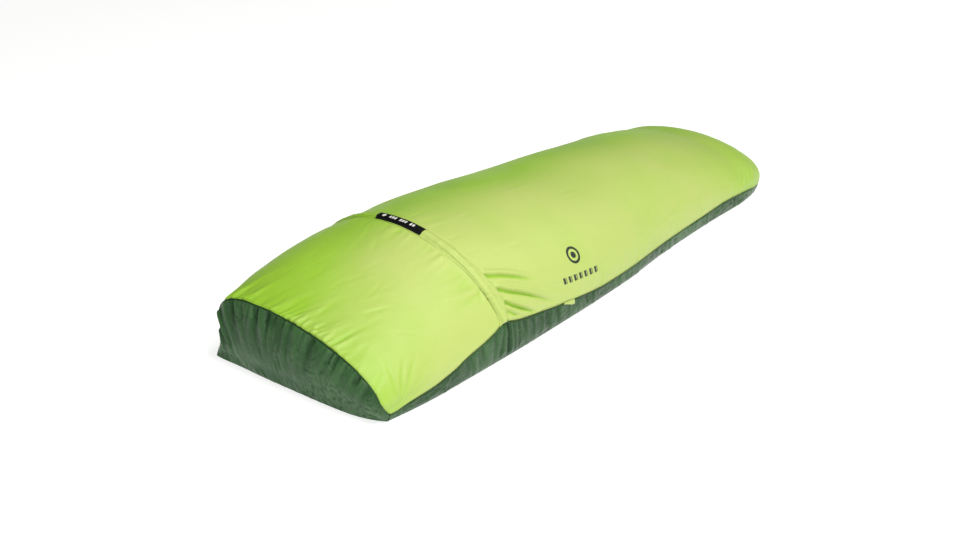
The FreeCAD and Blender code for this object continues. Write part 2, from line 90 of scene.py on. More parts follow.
def pchip(xs, ys):
    xs, ys = np.asarray(xs, float), np.asarray(ys, float)
    h = np.diff(xs); d = np.diff(ys) / h
    m = np.zeros(len(xs))
    for i in range(1, len(xs) - 1):
        if d[i - 1] * d[i] > 0:
            w1, w2 = 2 * h[i] + h[i - 1], h[i] + 2 * h[i - 1]
            m[i] = (w1 + w2) / (w1 / d[i - 1] + w2 / d[i])

    def end(h0, h1, d0, d1):
        s = ((2 * h0 + h1) * d0 - h0 * d1) / (h0 + h1)
        if s * d0 <= 0:
            return 0.0
        if d0 * d1 <= 0 and abs(s) > 3 * abs(d0):
            return 3 * d0
        return s
    m[0] = end(h[0], h[1], d[0], d[1]); m[-1] = end(h[-1], h[-2], d[-1], d[-2])

    def f(x):
        x = np.clip(np.asarray(x, float), xs[0], xs[-1])
        i = np.clip(np.searchsorted(xs, x, side="right") - 1, 0, len(xs) - 2)
        t = (x - xs[i]) / h[i]
        return ((1 + 2 * t) * (1 - t) ** 2 * ys[i] + t * (1 - t) ** 2 * h[i] * m[i]
                + t * t * (3 - 2 * t) * ys[i + 1] + t * t * (t - 1) * h[i] * m[i + 1])
    return f


f_h, f_wr, f_wl = pchip(STATION, CROWN), pchip(STATION, W_RIGHT), pchip(STATION, W_LEFT)
f_yc, f_pr, f_pl = pchip(SHIFT_X, SHIFT_Y), pchip(POW_X, POW_RIGHT), pchip(POW_X, POW_LEFT)
f_sr = pchip([a for a, b in SEAM], [b for a, b in SEAM])


def crown_profile():
    """Crown height along the sack with the run into the foot eased, sampled every 2 mm."""
    x = np.arange(0.0, FOOT_X + 0.1, 2.0)
    h = np.maximum(f_h(np.minimum(x, TAPER_X)) * (1 - np.clip((x - TAPER_X) / (LENGTH - TAPER_X), 0, 1) ** SIDE_POW) ** (1 / SIDE_POW), TIP_H)
    k = np.exp(-(np.arange(-60, 61) * 2.0 / 62.0) ** 2); k /= k.sum()
    pad = np.concatenate([np.full(60, h[0]), h, np.full(60, h[-1])])
    hs = np.convolve(pad, k, mode="valid")
    w = np.exp(-((x - 1705.0) / 95.0) ** 4)
    return x, h * (1 - w) + hs * w + 13.0 * np.exp(-((x - 1665.0) / 110.0) ** 2) - 12.0 * np.exp(-((x - 1850.0) / 62.0) ** 2)


HX, HZ = crown_profile()


def f_sl(x):
    return f_sr(x) + 43.0 * np.exp(-((np.asarray(x, float) - 489.0) / 95.0) ** 2)


def ending(x, p):
    t = np.clip((x - TAPER_X) / (LENGTH - TAPER_X), 0, 1)
    return (1 - t ** p) ** (1 / p)


# table of cross sections: arc length, y, z for every 2 mm of x
TX = np.arange(0.0, FOOT_X + 0.1, 2.0)
NS = 13 + 239 + 13
th = np.radians(np.linspace(-90, 90, 241))[1:-1]
tq = np.radians(np.linspace(90, 0, 13))
TY, TZ = np.zeros((len(TX), NS)), np.zeros((len(TX), NS))
for i, x in enumerate(TX):
    xm = min(x, TAPER_X)
    h = float(np.interp(x, HX, HZ))
    yc = f_yc(x)
    wr, wl = f_wr(xm) * ending(x, PLAN_POW) + yc, f_wl(xm) * ending(x, PLAN_POW) - yc
    z0 = min(BULGE_Z, 0.35 * h)
    br, bl = max(wr - FLOOR_IN, 0.9 * wr), max(wl - FLOOR_IN, 0.9 * wl)
    TY[i, :13] = yc - (br + (wr - br) * np.cos(tq)); TZ[i, :13] = z0 * (1 - np.sin(tq))
    w, p = np.where(th < 0, wr, wl), np.where(th < 0, f_pr(x), f_pl(x))
    TY[i, 13:-13] = yc + np.sign(th) * w * np.abs(np.sin(th)) ** (2 / p)
    TZ[i, 13:-13] = z0 + (h - z0) * np.abs(np.cos(th)) ** (2 / p)
    TY[i, -13:] = yc + (bl + (wl - bl) * np.cos(tq[::-1])); TZ[i, -13:] = z0 * (1 - np.sin(tq[::-1]))
TA = np.zeros_like(TY)
TA[:, 1:] = np.cumsum(np.hypot(np.diff(TY, axis=1), np.diff(TZ, axis=1)), axis=1)
NA = 700
UA = np.linspace(0, 1, NA)            # even arc samples of each section
EY, EZ = np.zeros((len(TX), NA)), np.zeros((len(TX), NA))
for i in range(len(TX)):
    EY[i] = np.interp(UA * TA[i, -1], TA[i], TY[i]); EZ[i] = np.interp(UA * TA[i, -1], TA[i], TZ[i])
TOTAL = TA[:, -1]


def total(x):
    return np.interp(x, TX, TOTAL)


def arc_z(x, z, side):
    """Arc position where the section at x reaches height z, on one side."""
    x = np.atleast_1d(np.asarray(x, float)); z = np.broadcast_to(np.asarray(z, float), x.shape)
    out = np.zeros(x.shape)
    for k in range(x.size):
        i = min(int(round(x.flat[k] / 2.0)), len(TX) - 1)
        n = NA // 2
        if side < 0:
            zz = np.maximum.accumulate(EZ[i, :n]); a = UA[:n]
            out.flat[k] = np.interp(z.flat[k], zz, a) * TOTAL[i]
        else:
            zz = np.maximum.accumulate(EZ[i, ::-1][:n]); a = UA[::-1][:n]
            out.flat[k] = np.interp(z.flat[k], zz, a) * TOTAL[i]
    return out


A_R = arc_z(TX, f_sr(TX), -1)
A_L = arc_z(TX, f_sl(TX), 1)


def a_r(x):
    return np.interp(x, TX, A_R)


def a_l(x):
    return np.interp(x, TX, A_L)


ARC_OFF = None


def skin(x, a):
    """Points of the filled sack: x and arc position, mm, arrays of one shape."""
    x, a = np.broadcast_arrays(np.asarray(x, float), np.asarray(a, float))
    fx = np.clip(x / 2.0, 0, len(TX) - 1.001); i = fx.astype(int); u = fx - i
    fa = np.clip(a / total(x), 0, 1) * (NA - 1); j = np.minimum(fa.astype(int), NA - 2); v = fa - j

    def bi(T):
        return ((1 - u) * (1 - v) * T[i, j] + u * (1 - v) * T[i + 1, j] + (1 - u) * v * T[i, j + 1] + u * v * T[i + 1, j + 1])
    P = np.stack([x, bi(EY), bi(EZ)], -1)
    if ARC_OFF is None:
        return P
    d = P - np.array([ZIP_X, ZIP_CY, ZIP_Z])
    n, vv, y = d @ ZN, d @ ZU, d[..., 1]
    g = np.exp(-(n / 120.0) ** 2)
    lo, hi = np.where(y < 0, -70.0, -25.0), np.where(y < 0, -2.0, 44.0)
    r = np.clip((vv - lo) / (hi - lo), 0, 1)
    g = g * r * r * (3 - 2 * r)
    f = np.degrees(np.arctan2(y, vv - ZIP_CV))
    off = np.interp(f, np.arange(-75, 76, 3.0), ARC_OFF)
    f = np.radians(f)
    P = P + (np.array([0, 1.0, 0]) * np.sin(f)[..., None] + ZU * np.cos(f)[..., None]) * (g * off)[..., None]
    return P


def top_point(x, s, gap=0.0):
    a0, a1 = a_r(x) + gap, a_l(x) - gap
    return skin(x, a0 + s * (a1 - a0))


def solve_plane(s, n_off, gap=0.0):
    x = np.full(np.shape(s), ZIP_X)
    for _ in range(16):
        p = top_point(x, s, gap)
        x = 0.5 * x + 0.5 * (ZIP_X + (n_off - (p[..., 2] - ZIP_Z) * sinL) / cosL)
    return x


def arch_x(z):
    return HEAD_X * np.maximum(0.0, (80.0 - z) / 55.0) ** 1.5


def solve_arch(s, gap=0.0):
    x = np.full(np.shape(s), 10.0)
    for _ in range(18):
        p = top_point(x, s, gap)
        x = 0.5 * x + 0.5 * arch_x(p[..., 2])
    return x


_s = np.linspace(0, 1, 61)
_p = top_point(solve_plane(_s, 0.0), _s) - ZC
_f, _r = np.degrees(np.arctan2(_p[:, 1], _p @ ZU)), np.hypot(_p[:, 1], _p @ ZU)
ARC_OFF = ZIP_R - np.interp(np.arange(-75, 76, 3.0), _f, _r)


def zip_frame(deg):
    f = np.radians(np.asarray(deg, float))[..., None]
    er = np.array([0, 1.0, 0]) * np.sin(f) + ZU * np.cos(f)
    et = np.array([0, 1.0, 0]) * np.cos(f) - ZU * np.sin(f)
    return er, et


def band_point(deg, n):
    """Point of the cloth at angle deg round the zip's circle and n mm from its plane."""
    deg, n = np.broadcast_arrays(np.asarray(deg, float), np.asarray(n, float))
    s = np.clip((deg + 63) / 120.0, 0, 1)
    x = ZIP_X + n
    lo, hi = np.zeros(s.shape), np.ones(s.shape)
    for _ in range(26):
        s = 0.5 * (lo + hi)
        for _k in range(3):
            p = top_point(x, s)
            x = 0.4 * x + 0.6 * (ZIP_X + (n - (p[..., 2] - ZIP_Z) * sinL) / cosL)
        p = top_point(x, s) - ZC
        f = np.degrees(np.arctan2(p[..., 1], p @ ZU))
        lo, hi = np.where(f < deg, s, lo), np.where(f < deg, hi, s)
    return top_point(x, s)


def near(x, z):
    """Point on the right-hand side of the cloth at x and height z."""
    x = np.atleast_1d(np.asarray(x, float)); z = np.atleast_1d(np.asarray(z, float))
    return skin(x, arc_z(x, z, -1))


def row(P):
    """Row-frame metres; the far head corner stands square on the ground."""
    x, y, z = P[..., 0], P[..., 1], P[..., 2]
    t = np.clip((300.0 - x) / 250.0, 0, 1); f = t * t * (3 - 2 * t)
    g = np.clip((y - 140.0) / 120.0, 0, 1); g = g * g * (3 - 2 * g)
    low = 1 - np.clip(z / 76.0, 0, 1)
    y = y + f * g * (24.0 * low ** 1.2 - 17.0 * np.exp(-((z - 92.0) / 66.0) ** 2))
    x = x - f * g * 0.85 * np.clip(x, 0, 37.0) * low
    return np.stack([(x + X_SHIFT), y, z], -1) / 1000.0


# ------------------------------------------------------------------ mesh helpers
def grid_normals(P, centre):
    du = np.gradient(P, axis=0); dv = np.gradient(P, axis=1)
    N = np.cross(du, dv)
    N /= np.maximum(np.linalg.norm(N, axis=-1, keepdims=True), 1e-9)
    i, j = P.shape[0] // 2, P.shape[1] // 2
    if N[i, j] @ (P[i, j] - np.asarray(centre, float)) < 0:
        N = -N
    return N


def build(name, verts, faces, uv=None, mats=(), smooth=True, mat_index=None):
    """verts (n,3) in metres, faces (m,4) or (m,3) int array, uv (n,2) per vertex."""
    me = bpy.data.meshes.new(name)
    verts = np.asarray(verts, np.float32); faces = np.asarray(faces, np.int32)
    k = faces.shape[1]
    me.vertices.add(len(verts)); me.vertices.foreach_set("co", verts.ravel())
    me.loops.add(faces.size); me.loops.foreach_set("vertex_index", faces.ravel())
    me.polygons.add(len(faces))
    me.polygons.foreach_set("loop_start", np.arange(0, faces.size, k, dtype=np.int32))
    me.polygons.foreach_set("loop_total", np.full(len(faces), k, np.int32))
    me.update(calc_edges=True)
    if uv is not None:
        layer = me.uv_layers.new(name="UVMap")
        layer.data.foreach_set("uv", np.asarray(uv, np.float32)[faces.ravel()].ravel())
    me.polygons.foreach_set("use_smooth", np.full(len(faces), smooth))
    if mat_index is not None:
        me.polygons.foreach_set("material_index", np.asarray(mat_index, np.int32))
    for m in mats:
        me.materials.append(m)
    me.validate()
    ob = bpy.data.objects.new(name, me)
    bpy.context.scene.collection.objects.link(ob)
    return ob


def sheet_mesh(name, P, thick, centre, mats, uv, lift=0.0, fold=None):
    """Closed thin sheet: P (n,m,3) mm outer face, thickness mm inwards. fold: height of ridges and valleys, mm."""
    n, m = P.shape[:2]
    N = grid_normals(P, centre)
    O = P + N * lift
    I = O - N * thick
    V = np.concatenate([row(O).reshape(-1, 3), row(I).reshape(-1, 3)])
    idx = np.arange(n * m).reshape(n, m)
    q = np.stack([idx[:-1, :-1], idx[1:, :-1], idx[1:, 1:], idx[:-1, 1:]], -1).reshape(-1, 4)
    a, b, c = O[0, 0], O[1, 0], O[0, 1]
    i, j = n // 2, m // 2
    fn = np.cross(O[i + 1, j] - O[i, j], O[i, j + 1] - O[i, j]) if i + 1 < n and j + 1 < m else N[i, j]
    if fn @ N[i, j] < 0:
        q = q[:, ::-1]
    F = [q, q[:, ::-1] + n * m]
    ring = np.concatenate([idx[:, 0], idx[-1, 1:], idx[::-1, -1][1:], idx[0, ::-1][1:-1]])
    nx = np.roll(ring, -1)
    rim = np.stack([ring, nx, nx + n * m, ring + n * m], -1)
    # the rim must run against the outer face's edge direction
    q0 = q[0]
    pairs = {(int(q0[k]), int(q0[(k + 1) % 4])) for k in range(4)}
    k0 = [(int(r), int(s)) for r, s in zip(ring, nx)]
    if any(p in pairs for p in k0):
        rim = rim[:, ::-1]
    F.append(rim)
    UV = np.concatenate([uv.reshape(-1, 2)] * 2)
    ob = build(name, V, np.concatenate(F), UV, mats)
    if fold is not None:
        f = np.clip(fold / 6.0, -1, 1).reshape(-1).astype(np.float32)
        ob.data.attributes.new("fold", "FLOAT", "POINT").data.foreach_set("value", np.concatenate([f, f]))
    return ob


def smoothstep(t):
    t = np.clip(t, 0, 1)
    return t * t * (3 - 2 * t)


def crease(P, N, path, amp, sigma, ridge=0.0, gap=2.0, t_in=0.12, t_out=0.5, sharp=2.0):
    """Displacement of a valley along path (k,3), with a ridge on its upper side."""
    path = np.asarray(path, float)
    seg = np.linalg.norm(np.diff(path, axis=0), axis=1); L = seg.sum(); c = np.concatenate([[0], np.cumsum(seg)])
    lo, hi = path.min(0) - 5 * sigma - 5, path.max(0) + 5 * sigma + 5
    m = np.all((P > lo) & (P < hi), axis=-1)
    D = np.zeros(P.shape[:-1])
    if not m.any():
        return D
    Q, NN = P[m], N[m]
    best = np.full(len(Q), 1e9); par = np.zeros(len(Q)); sd = np.zeros(len(Q))
    for k in range(len(path) - 1):
        a, b = path[k], path[k + 1]; ab = b - a
        t = np.clip((Q - a) @ ab / (ab @ ab), 0, 1)
        r = Q - (a + t[:, None] * ab)
        dist = np.linalg.norm(r, axis=1)
        better = dist < best
        side = np.sign(np.einsum("ij,ij->i", np.cross(np.broadcast_to(ab, r.shape), r), NN))
        best = np.where(better, dist, best); par = np.where(better, (c[k] + t * seg[k]) / L, par)
        sd = np.where(better, side * dist, sd)
    f = smoothstep(par / max(t_in, 1e-3)) * smoothstep((1 - par) / max(t_out, 1e-3))
    v = -amp * np.exp(-np.abs(best / sigma) ** sharp)
    if ridge:
        v = v + ridge * np.exp(-((sd - gap * sigma) / (sigma * 1.3)) ** 2) + 0.5 * ridge * np.exp(-((sd + gap * sigma) / (sigma * 1.5)) ** 2)
    D[m] = f * v
    return D


def value_noise(shape, cells, seed):
    """Smooth noise on a grid, cells = (nu, nv)."""
    r = np.random.default_rng(seed)
    g = r.uniform(-1, 1, (cells[0] + 4, cells[1] + 4))
    u = np.linspace(0, cells[0], shape[0])[:, None] * np.ones((1, shape[1]))
    v = np.linspace(0, cells[1], shape[1])[None, :] * np.ones((shape[0], 1))
    i, j = u.astype(int), v.astype(int); fu, fv = u - i, v - j

    def cub(a, b, c, d, t):
        return b + 0.5 * t * (c - a + t * (2 * a - 5 * b + 4 * c - d + t * (3 * (b - c) + d - a)))
    rows = [cub(g[i + k, j], g[i + k, j + 1], g[i + k, j + 2], g[i + k, j + 3], fv) for k in range(4)]
    return cub(*rows, fu)


def gathers(s, d, count, seed, s_range, width, length, amp, skew=0.0):
    """Fine pleats that start at a seam (d = 0) and fade away from it. s runs along the seam in mm."""
    r = np.random.default_rng(seed)
    D = np.zeros(np.broadcast(s, d).shape)
    s, d = np.broadcast_arrays(s, d)
    for _ in range(count):
        s0 = r.uniform(*s_range); w = r.uniform(*width); L = r.uniform(*length); a = r.uniform(*amp) * r.choice([-1, 1], p=[.42, .58])
        k = r.normal(skew, 0.12)
        t = s - s0 - k * d
        m = np.abs(t) < 4 * w
        w2 = w * (1 + 0.6 * d / L)
        D = D + np.where(m, a * np.exp(-(t / w2) ** 2) * np.exp(-(np.maximum(d, 0) / L) ** 1.5) * (1 - np.exp(-d / 3.0)), 0)
    return D


# ------------------------------------------------------------------ materials
def new_mat(name):
    m = bpy.data.materials.new(name); m.use_nodes = True
    nt = m.node_tree; nt.nodes.clear()
    out = nt.nodes.new("ShaderNodeOutputMaterial"); b = nt.nodes.new("ShaderNodeBsdfPrincipled")
    nt.links.new(b.outputs[0], out.inputs[0])
    return m, nt, b


def lin(r, g, b):
    return tuple(((c / 255.0) / 12.92 if c / 255.0 <= 0.04045 else ((c / 255.0 + 0.055) / 1.055) ** 2.4) for c in (r, g, b)) + (1.0,)


def node(nt, kind, **kw):
    n = nt.nodes.new(kind)
    for k, v in kw.items():
        setattr(n, k, v)
    return n


def math_node(nt, op, a, b=None, c=None, clamp=False):
    n = nt.nodes.new("ShaderNodeMath"); n.operation = op; n.use_clamp = clamp
    for i, v in enumerate((a, b, c)):
        if v is None:
            continue
        if hasattr(v, "links"):
            nt.links.new(v, n.inputs[i])
        else:
            n.inputs[i].default_value = v
    return n.outputs[0]


def fabric(name, dark, mid, light, rough, spec, sheen, sheen_rough, weave, ripstop=0.005, wrinkle=0.25, coat=0.0,
           print_mask=None, print_color=(0.02, 0.03, 0.02, 1), vein_and_fold_shade=0.0, painted_highlight=None):
    m, nt, b = new_mat(name)
    L = nt.links.new
    uv = node(nt, "ShaderNodeTexCoord").outputs["UV"]
    obj = node(nt, "ShaderNodeTexCoord").outputs["Object"]
    # slow colour variation
    n1 = node(nt, "ShaderNodeTexNoise"); n1.inputs["Scale"].default_value = 3.2; n1.inputs["Detail"].default_value = 4
    n1.inputs["Roughness"].default_value = 0.55
    L(obj, n1.inputs["Vector"])
    ramp = node(nt, "ShaderNodeValToRGB")
    ramp.color_ramp.elements[0].position = 0.30; ramp.color_ramp.elements[0].color = dark
    ramp.color_ramp.elements[1].position = 0.72; ramp.color_ramp.elements[1].color = light
    e = ramp.color_ramp.elements.new(0.5); e.color = mid
    L(n1.outputs["Fac"], ramp.inputs["Fac"])
    # weave and ripstop squares from the cloth's own metres
    sep = node(nt, "ShaderNodeSeparateXYZ"); L(uv, sep.inputs[0])
    fine = 2 * math.pi / 0.0009
    su = math_node(nt, "SINE", math_node(nt, "MULTIPLY", sep.outputs[0], fine))
    sv = math_node(nt, "SINE", math_node(nt, "MULTIPLY", sep.outputs[1], fine))
    plain = math_node(nt, "MULTIPLY", su, sv)

    def rib(o):
        f = math_node(nt, "FRACT", math_node(nt, "DIVIDE", o, ripstop))
        d = math_node(nt, "ABSOLUTE", math_node(nt, "SUBTRACT", f, 0.5))
        return math_node(nt, "SMOOTH_MAX", math_node(nt, "SUBTRACT", math_node(nt, "MULTIPLY", d, 16.0), 7.0), 0.0, 0.1)
    ribs = math_node(nt, "MAXIMUM", rib(sep.outputs[0]), rib(sep.outputs[1]))
    # fine crinkle
    map2 = node(nt, "ShaderNodeMapping"); L(uv, map2.inputs["Vector"])
    map2.inputs["Scale"].default_value = (22, 34, 1)
    n2 = node(nt, "ShaderNodeTexNoise"); n2.inputs["Scale"].default_value = 1.0; n2.inputs["Detail"].default_value = 5
    n2.inputs["Roughness"].default_value = 0.6; n2.inputs["Distortion"].default_value = 0.8
    L(map2.outputs[0], n2.inputs["Vector"])
    bump1 = node(nt, "ShaderNodeBump"); bump1.inputs["Strength"].default_value = wrinkle; bump1.inputs["Distance"].default_value = 0.006
    L(n2.outputs["Fac"], bump1.inputs["Height"])
    hsum = math_node(nt, "ADD", math_node(nt, "MULTIPLY", plain, 0.25), math_node(nt, "MULTIPLY", ribs, 0.8))
    bump2 = node(nt, "ShaderNodeBump"); bump2.inputs["Strength"].default_value = weave; bump2.inputs["Distance"].default_value = 0.0002
    L(hsum, bump2.inputs["Height"]); L(bump1.outputs[0], bump2.inputs["Normal"])
    L(bump2.outputs[0], b.inputs["Normal"])
    col = ramp.outputs[0]
    # ribs read a touch darker
    mx = node(nt, "ShaderNodeMix", data_type="RGBA", blend_type="MULTIPLY")
    L(math_node(nt, "MULTIPLY", ribs, 0.16, clamp=True), mx.inputs["Factor"]); L(col, mx.inputs["A"])
    mx.inputs["B"].default_value = (0.62, 0.66, 0.55, 1)
    col = mx.outputs["Result"]
    if vein_and_fold_shade:
        # painted highlight on fold ridges and painted shade in fold valleys, from the fold attribute; after that,
        # lighter noise streaks at random
        fo = node(nt, "ShaderNodeAttribute", attribute_name="fold").outputs["Fac"]
        ma = node(nt, "ShaderNodeMix", data_type="RGBA", blend_type="MIX")
        L(math_node(nt, "MULTIPLY", fo, 0.6, clamp=True), ma.inputs["Factor"]); L(col, ma.inputs["A"]); ma.inputs["B"].default_value = light
        mb = node(nt, "ShaderNodeMix", data_type="RGBA", blend_type="MIX")
        L(math_node(nt, "MULTIPLY", fo, -0.65, clamp=True), mb.inputs["Factor"]); L(ma.outputs["Result"], mb.inputs["A"])
        mb.inputs["B"].default_value = tuple(c * 0.45 for c in dark[:3]) + (1,)
        col = mb.outputs["Result"]
        mv = node(nt, "ShaderNodeMapping"); L(obj, mv.inputs["Vector"]); mv.inputs["Scale"].default_value = (9, 9, 5)
        nv = node(nt, "ShaderNodeTexNoise"); nv.inputs["Scale"].default_value = 1.3; nv.inputs["Detail"].default_value = 6
        nv.inputs["Distortion"].default_value = 1.6; L(mv.outputs[0], nv.inputs["Vector"])
        r2 = node(nt, "ShaderNodeValToRGB"); r2.color_ramp.elements[0].position = 0.52; r2.color_ramp.elements[1].position = 0.68
        r2.color_ramp.elements[0].color = (0, 0, 0, 1); r2.color_ramp.elements[1].color = (1, 1, 1, 1)
        L(nv.outputs["Fac"], r2.inputs["Fac"])
        m3 = node(nt, "ShaderNodeMix", data_type="RGBA", blend_type="MIX")
        L(math_node(nt, "MULTIPLY", r2.outputs[0], vein_and_fold_shade), m3.inputs["Factor"]); L(col, m3.inputs["A"])
        m3.inputs["B"].default_value = light
        col = m3.outputs["Result"]
    if painted_highlight:
        # painted highlight: the colour is lighter along the top of the right-hand side, where the light falls, and full
        # at the far side and at both ends
        so = node(nt, "ShaderNodeSeparateXYZ"); L(obj, so.inputs[0])

        def ramp_of(sock, lo, hi):
            r = node(nt, "ShaderNodeMapRange"); r.interpolation_type = "SMOOTHSTEP"
            L(sock, r.inputs["Value"]); r.inputs["From Min"].default_value = lo; r.inputs["From Max"].default_value = hi
            return r.outputs["Result"]
        fy = ramp_of(math_node(nt, "ADD", so.outputs[1], math_node(nt, "MULTIPLY", n1.outputs["Fac"], 0.06)), 0.165, -0.07)
        fx = math_node(nt, "MULTIPLY", ramp_of(so.outputs[0], -1.04, -0.74), ramp_of(so.outputs[0], 0.96, 0.52))
        fo = node(nt, "ShaderNodeAttribute", attribute_name="fold").outputs["Fac"]
        f = math_node(nt, "MULTIPLY", fy, math_node(nt, "ADD", math_node(nt, "MULTIPLY", fx, 0.66), 0.34))
        # painted highlight on the ridges and painted shade in the valleys: lighter on the ridges, full colour in the
        # valleys
        up_ = math_node(nt, "MULTIPLY", math_node(nt, "MAXIMUM", fo, 0.0), math_node(nt, "MULTIPLY", f, 0.6))
        dn_ = math_node(nt, "MULTIPLY", math_node(nt, "MINIMUM", fo, 0.0), 0.8)
        f = math_node(nt, "ADD", math_node(nt, "ADD", f, up_), dn_, clamp=True)
        mp = node(nt, "ShaderNodeMix", data_type="RGBA", blend_type="MIX")
        L(f, mp.inputs["Factor"]); L(col, mp.inputs["A"]); mp.inputs["B"].default_value = painted_highlight
        col = mp.outputs["Result"]
    if print_mask:
        mask = print_mask(nt, sep.outputs[0], sep.outputs[1])
        m4 = node(nt, "ShaderNodeMix", data_type="RGBA", blend_type="MIX")
        L(mask, m4.inputs["Factor"]); L(col, m4.inputs["A"]); m4.inputs["B"].default_value = print_color
        col = m4.outputs["Result"]
    L(col, b.inputs["Base Color"])
    rr = math_node(nt, "ADD", math_node(nt, "MULTIPLY", n2.outputs["Fac"], 0.14), rough - 0.07)
    L(rr, b.inputs["Roughness"])
    b.inputs["Specular IOR Level"].default_value = spec
    b.inputs["Sheen Weight"].default_value = sheen
    b.inputs["Sheen Roughness"].default_value = sheen_rough
    b.inputs["Sheen Tint"].default_value = (1.0, 1.0, 0.85, 1)
    if coat:
        b.inputs["Coat Weight"].default_value = coat
        b.inputs["Coat Roughness"].default_value = 0.28
    return m


def plain(name, col, rough=0.5, metal=0.0, spec=0.5, bump=0.0, scale=400.0):
    m, nt, b = new_mat(name)
    obj = node(nt, "ShaderNodeTexCoord").outputs["Object"]
    n = node(nt, "ShaderNodeTexNoise"); n.inputs["Scale"].default_value = scale; n.inputs["Detail"].default_value = 3
    nt.links.new(obj, n.inputs["Vector"])
    mx = node(nt, "ShaderNodeMix", data_type="RGBA", blend_type="MIX")
    nt.links.new(n.outputs["Fac"], mx.inputs["Factor"])
    mx.inputs["A"].default_value = tuple(c * 0.75 for c in col[:3]) + (1,); mx.inputs["B"].default_value = tuple(min(c * 1.25, 1) for c in col[:3]) + (1,)
    nt.links.new(mx.outputs["Result"], b.inputs["Base Color"])
    rr = math_node(nt, "ADD", math_node(nt, "MULTIPLY", n.outputs["Fac"], 0.2), rough - 0.1)
    nt.links.new(rr, b.inputs["Roughness"])
    b.inputs["Metallic"].default_value = metal
    b.inputs["Specular IOR Level"].default_value = spec
    if bump:
        bp = node(nt, "ShaderNodeBump"); bp.inputs["Strength"].default_value = bump; bp.inputs["Distance"].default_value = 0.0005
        nt.links.new(n.outputs["Fac"], bp.inputs["Height"]); nt.links.new(bp.outputs[0], b.inputs["Normal"])
    return m


# generic printed mark: a plain ring with a dot in it, and a row of short bars under it
_mx, _mz = 865.0, 183.0
MARK_U = _mx / 1000.0
MARK_V = float(arc_z([_mx], _mz, -1)[0] - a_r(_mx)) / 1000.0
BAR_V = float(arc_z([870.0], 124.0, -1)[0] - a_r(870.0)) / 1000.0


def mark(nt, u, v):
    du = math_node(nt, "SUBTRACT", u, MARK_U); dv = math_node(nt, "SUBTRACT", v, MARK_V)
    r = math_node(nt, "SQRT", math_node(nt, "ADD", math_node(nt, "MULTIPLY", du, du), math_node(nt, "MULTIPLY", dv, dv)))
    ring = math_node(nt, "LESS_THAN", math_node(nt, "ABSOLUTE", math_node(nt, "SUBTRACT", r, 0.0235)), 0.0042)
    dot = math_node(nt, "LESS_THAN", r, 0.0105)
    bv = math_node(nt, "LESS_THAN", math_node(nt, "ABSOLUTE", math_node(nt, "SUBTRACT", v, BAR_V)), 0.0095)
    bu = math_node(nt, "LESS_THAN", math_node(nt, "ABSOLUTE", math_node(nt, "SUBTRACT", u, 0.869)), 0.088)
    # bars of two lengths: the sum of two combs
    f1 = math_node(nt, "LESS_THAN", math_node(nt, "FRACT", math_node(nt, "DIVIDE", math_node(nt, "SUBTRACT", u, 0.7815), 0.0252)), 0.62)
    f2 = math_node(nt, "LESS_THAN", math_node(nt, "FRACT", math_node(nt, "DIVIDE", math_node(nt, "SUBTRACT", u, 0.7815), 0.0126)), 0.80)
    bars = math_node(nt, "MULTIPLY", math_node(nt, "MULTIPLY", bv, bu), math_node(nt, "MULTIPLY", f1, f2))
    return math_node(nt, "MAXIMUM", math_node(nt, "MAXIMUM", ring, dot), bars)


LIME_D, LIME_M, LIME_L = lin(143, 190, 44), lin(151, 198, 51), lin(158, 204, 60)
DARK_D, DARK_M, DARK_L = lin(38, 68, 38), lin(52, 86, 50), lin(76, 114, 70)
# both lime cloths get a painted highlight colour, mixed in along the lit top of the right-hand side and on fold ridges
lime = fabric("lime_ripstop", LIME_D, LIME_M, LIME_L, 0.46, 0.38, 0.05, 0.5, 0.5, wrinkle=0.18, painted_highlight=lin(182, 200, 108))
lime_print = fabric("lime_ripstop_printed", LIME_D, LIME_M, LIME_L, 0.46, 0.38, 0.05, 0.5, 0.5, wrinkle=0.18, painted_highlight=lin(182, 200, 108), print_mask=mark)
# the dark cloth gets painted shade in its fold valleys and a painted highlight on its fold ridges
dark = fabric("dark_coated_ripstop", DARK_D, DARK_M, DARK_L, 0.28, 0.14, 0.0, 0.4, 0.4, wrinkle=0.5, vein_and_fold_shade=0.10)
seam_mat = fabric("seam_thread", lin(52, 70, 30), lin(66, 86, 36), lin(80, 100, 44), 0.6, 0.3, 0.1, 0.5, 0.8, ripstop=0.0016)
thread = plain("stitch_thread", lin(128, 168, 48), 0.55, bump=0.4, scale=2600)
thread_dark = plain("stitch_thread_dark", lin(46, 62, 42), 0.55, bump=0.4, scale=2600)
tape_mat = fabric("zip_tape_weave", lin(26, 30, 26), lin(32, 36, 31), lin(40, 44, 38), 0.7, 0.3, 0.2, 0.5, 1.0, ripstop=0.0012, wrinkle=0.05)
coil_mat = plain("zip_coil_nylon", lin(30, 33, 30), 0.35, bump=0.1, scale=900)
metal = plain("zip_lacquer", lin(34, 35, 34), 0.3, metal=0.6, bump=0.08, scale=700)

# ------------------------------------------------------------------ cloth panels
GAP = 1.5      # half the width of the seam between two panels, mm


def uv_from(P, v0=None):
    """Cloth coordinates in metres: x along the sack and arc length across it."""
    d = np.linalg.norm(np.diff(P, axis=1), axis=-1)
    v = np.concatenate([np.zeros((P.shape[0], 1)), np.cumsum(d, axis=1)], axis=1)
    return np.stack([P[..., 0] / 1000.0, v / 1000.0], -1)


def edge_fade(n, cells=3):
    t = np.arange(n)
    return np.clip(np.minimum(t, n - 1 - t) / cells, 0, 1)


